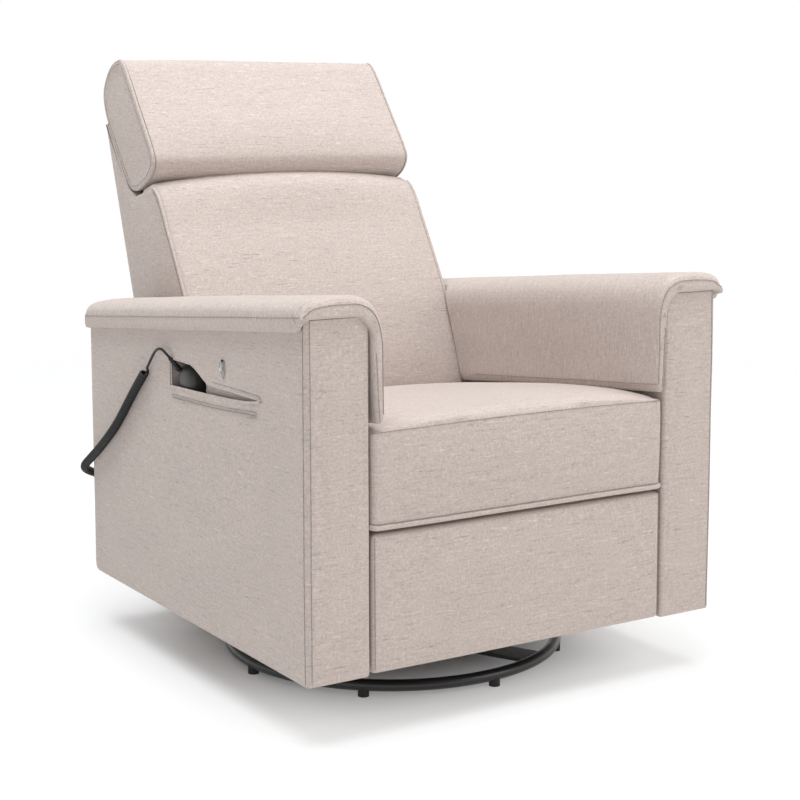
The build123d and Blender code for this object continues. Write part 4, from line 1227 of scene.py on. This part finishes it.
def add_handset():
    half_long, half_wide, half_thick = CASE_LONG / 2, CASE_WIDE / 2, CASE_THICK / 2
    dome = 0.030
    rings = []
    for t in np.linspace(0.04, 1, 9):
        grow = math.sqrt(1 - (1 - t) ** 2)
        rings.append(case_ring(-half_long + 0.016 * t, half_wide * (0.55 + 0.45 * grow), half_thick * grow))
    for height in np.linspace(-half_long + 0.022, half_long - dome, 12):
        rings.append(case_ring(height, half_wide, half_thick))
    for t in np.linspace(0.08, 0.985, 12):
        fall = math.sqrt(1 - t**2)
        wide, thick = half_wide * (0.42 + 0.58 * fall), half_thick * (0.10 + 0.90 * fall)
        rings.append(case_ring(half_long - dome * (1 - t), wide, thick, 0.0015 * t))
    case = Patch()
    case.loft(rings)
    made = case.make("handset_case", case_plastic, "chair_frame", sharp=80)
    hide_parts("handset_back_shell", "handset_front_shell")
    proud = CASE_ACROSS * 0.0001
    edge, far_edge = 0, RING_POINTS // 2
    line = [ring[edge] + proud for ring in rings[3:]] + [ring[far_edge] - proud for ring in rings[:2:-1]]
    groove = Patch()
    groove.tube(line, 0.0005, 6, tuple(CASE_OUT))
    groove.make("handset_parting_line", moulded, "chair_frame")


def add_strain_relief():
    """A tapered rubber sleeve with ribs round it, where the lead leaves the handset."""
    top = np.array(LEAD_ROUTE[0])
    axis = np.array(LEAD_ROUTE[1]) - top
    axis /= np.linalg.norm(axis)
    length, thick, thin, ribs = 0.026, 0.0052, 0.0033, 6
    marks, radii = [0.0], [thick * 0.8]
    for k in range(ribs):
        for t, share in ((0.06, 1.0), (0.55, 1.0), (0.62, 0.80), (0.94, 0.80)):
            place = (k + t) / ribs
            marks.append(place)
            radii.append((thick + (thin - thick) * place) * share)
    marks += [0.985, 1.0]
    radii += [thin, thin * 0.85]
    path = [top - axis * length * (1 - mark) for mark in marks]
    sleeve = Patch()
    sleeve.tube(path, np.array(radii), 24, (1, 0, 0))
    made = sleeve.make("handset_strain_relief", cord_rubber, "chair_frame", sharp=35)
    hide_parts("cord_strain_relief")


def add_hanger():
    """A small clear plastic hanger on the arm's side: an oval plate, a stem and a hooked blade."""
    low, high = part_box("side_hook")
    y, z = (low.y + high.y) / 2, (low.z + high.z) / 2
    face = high.x
    turn = np.linspace(0, 2 * math.pi, 40, endpoint=False)
    rings = []
    for out, wide, tall, lift in (
        (0.0002, 0.0070, 0.0150, 0.0),
        (0.0014, 0.0070, 0.0150, 0.0),
        (0.0024, 0.0058, 0.0136, 0.0),
        (0.0028, 0.0035, 0.0100, 0.0),
        (0.0030, 0.0030, 0.0042, 0.006),
        (0.0062, 0.0028, 0.0038, 0.006),
        (0.0066, 0.0042, 0.0080, 0.003),
        (0.0078, 0.0044, 0.0086, 0.003),
        (0.0085, 0.0030, 0.0068, 0.003),
    ):
        rings.append([(face - out, y + wide * math.cos(a), z + lift + tall * math.sin(a)) for a in turn])
    hanger = Patch()
    hanger.loft(rings)
    made = hanger.make("clear_hanger", clear, "chair_frame", sharp=60)
    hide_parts("side_hook")
    pin = [(face - 0.0030, y, z + 0.0125), (face - 0.0042, y, z + 0.0135), (face - 0.0050, y, z + 0.0130)]
    stub = Patch()
    stub.tube(pin, np.array((0.0022, 0.0024, 0.0012)), 14, (0, 0, 1))
    stub.make("hanger_pin", moulded, "chair_frame")


add_handset()
add_strain_relief()
add_hanger()


# ---------------------------------------------------------------- finishes of the CAD nodes that stay
FINISHES = {
    black_paint: [
        "base_ring", "base_crossbars", "swivel_lower_plate", "swivel_upper_plate", "stand_uprights",
        "stand_crossbrace", "front_glide_links", "rear_glide_links", "glide_rails", "lower_cross_tubes",
        "recline_pivot_plates", "recline_brackets", "footrest_hangers", "thigh_links", "shin_links",
        "footrest_torque_tube", "footrest_brackets",
    ],
    zinc: ["bearing_balls", "swivel_retainer", "seat_springs"],
    hardwood: ["seat_side_rails", "seat_front_rail", "seat_rear_rail", "back_stiles", "back_rails"],
    moulded: [
        "footrest_motor", "recline_motor", "footrest_drive_nut", "recline_drive_nut", "control_box",
        "power_inlet", "cord_gland",
    ],
    foot_plastic: ["base_feet"],
    button_plastic: ["recline_button", "upright_button", "footrest_out_button", "footrest_in_button"],
}
for material, names in FINISHES.items():
    for name in names:
        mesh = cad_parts[name].data
        mesh.materials.clear()
        mesh.materials.append(material)
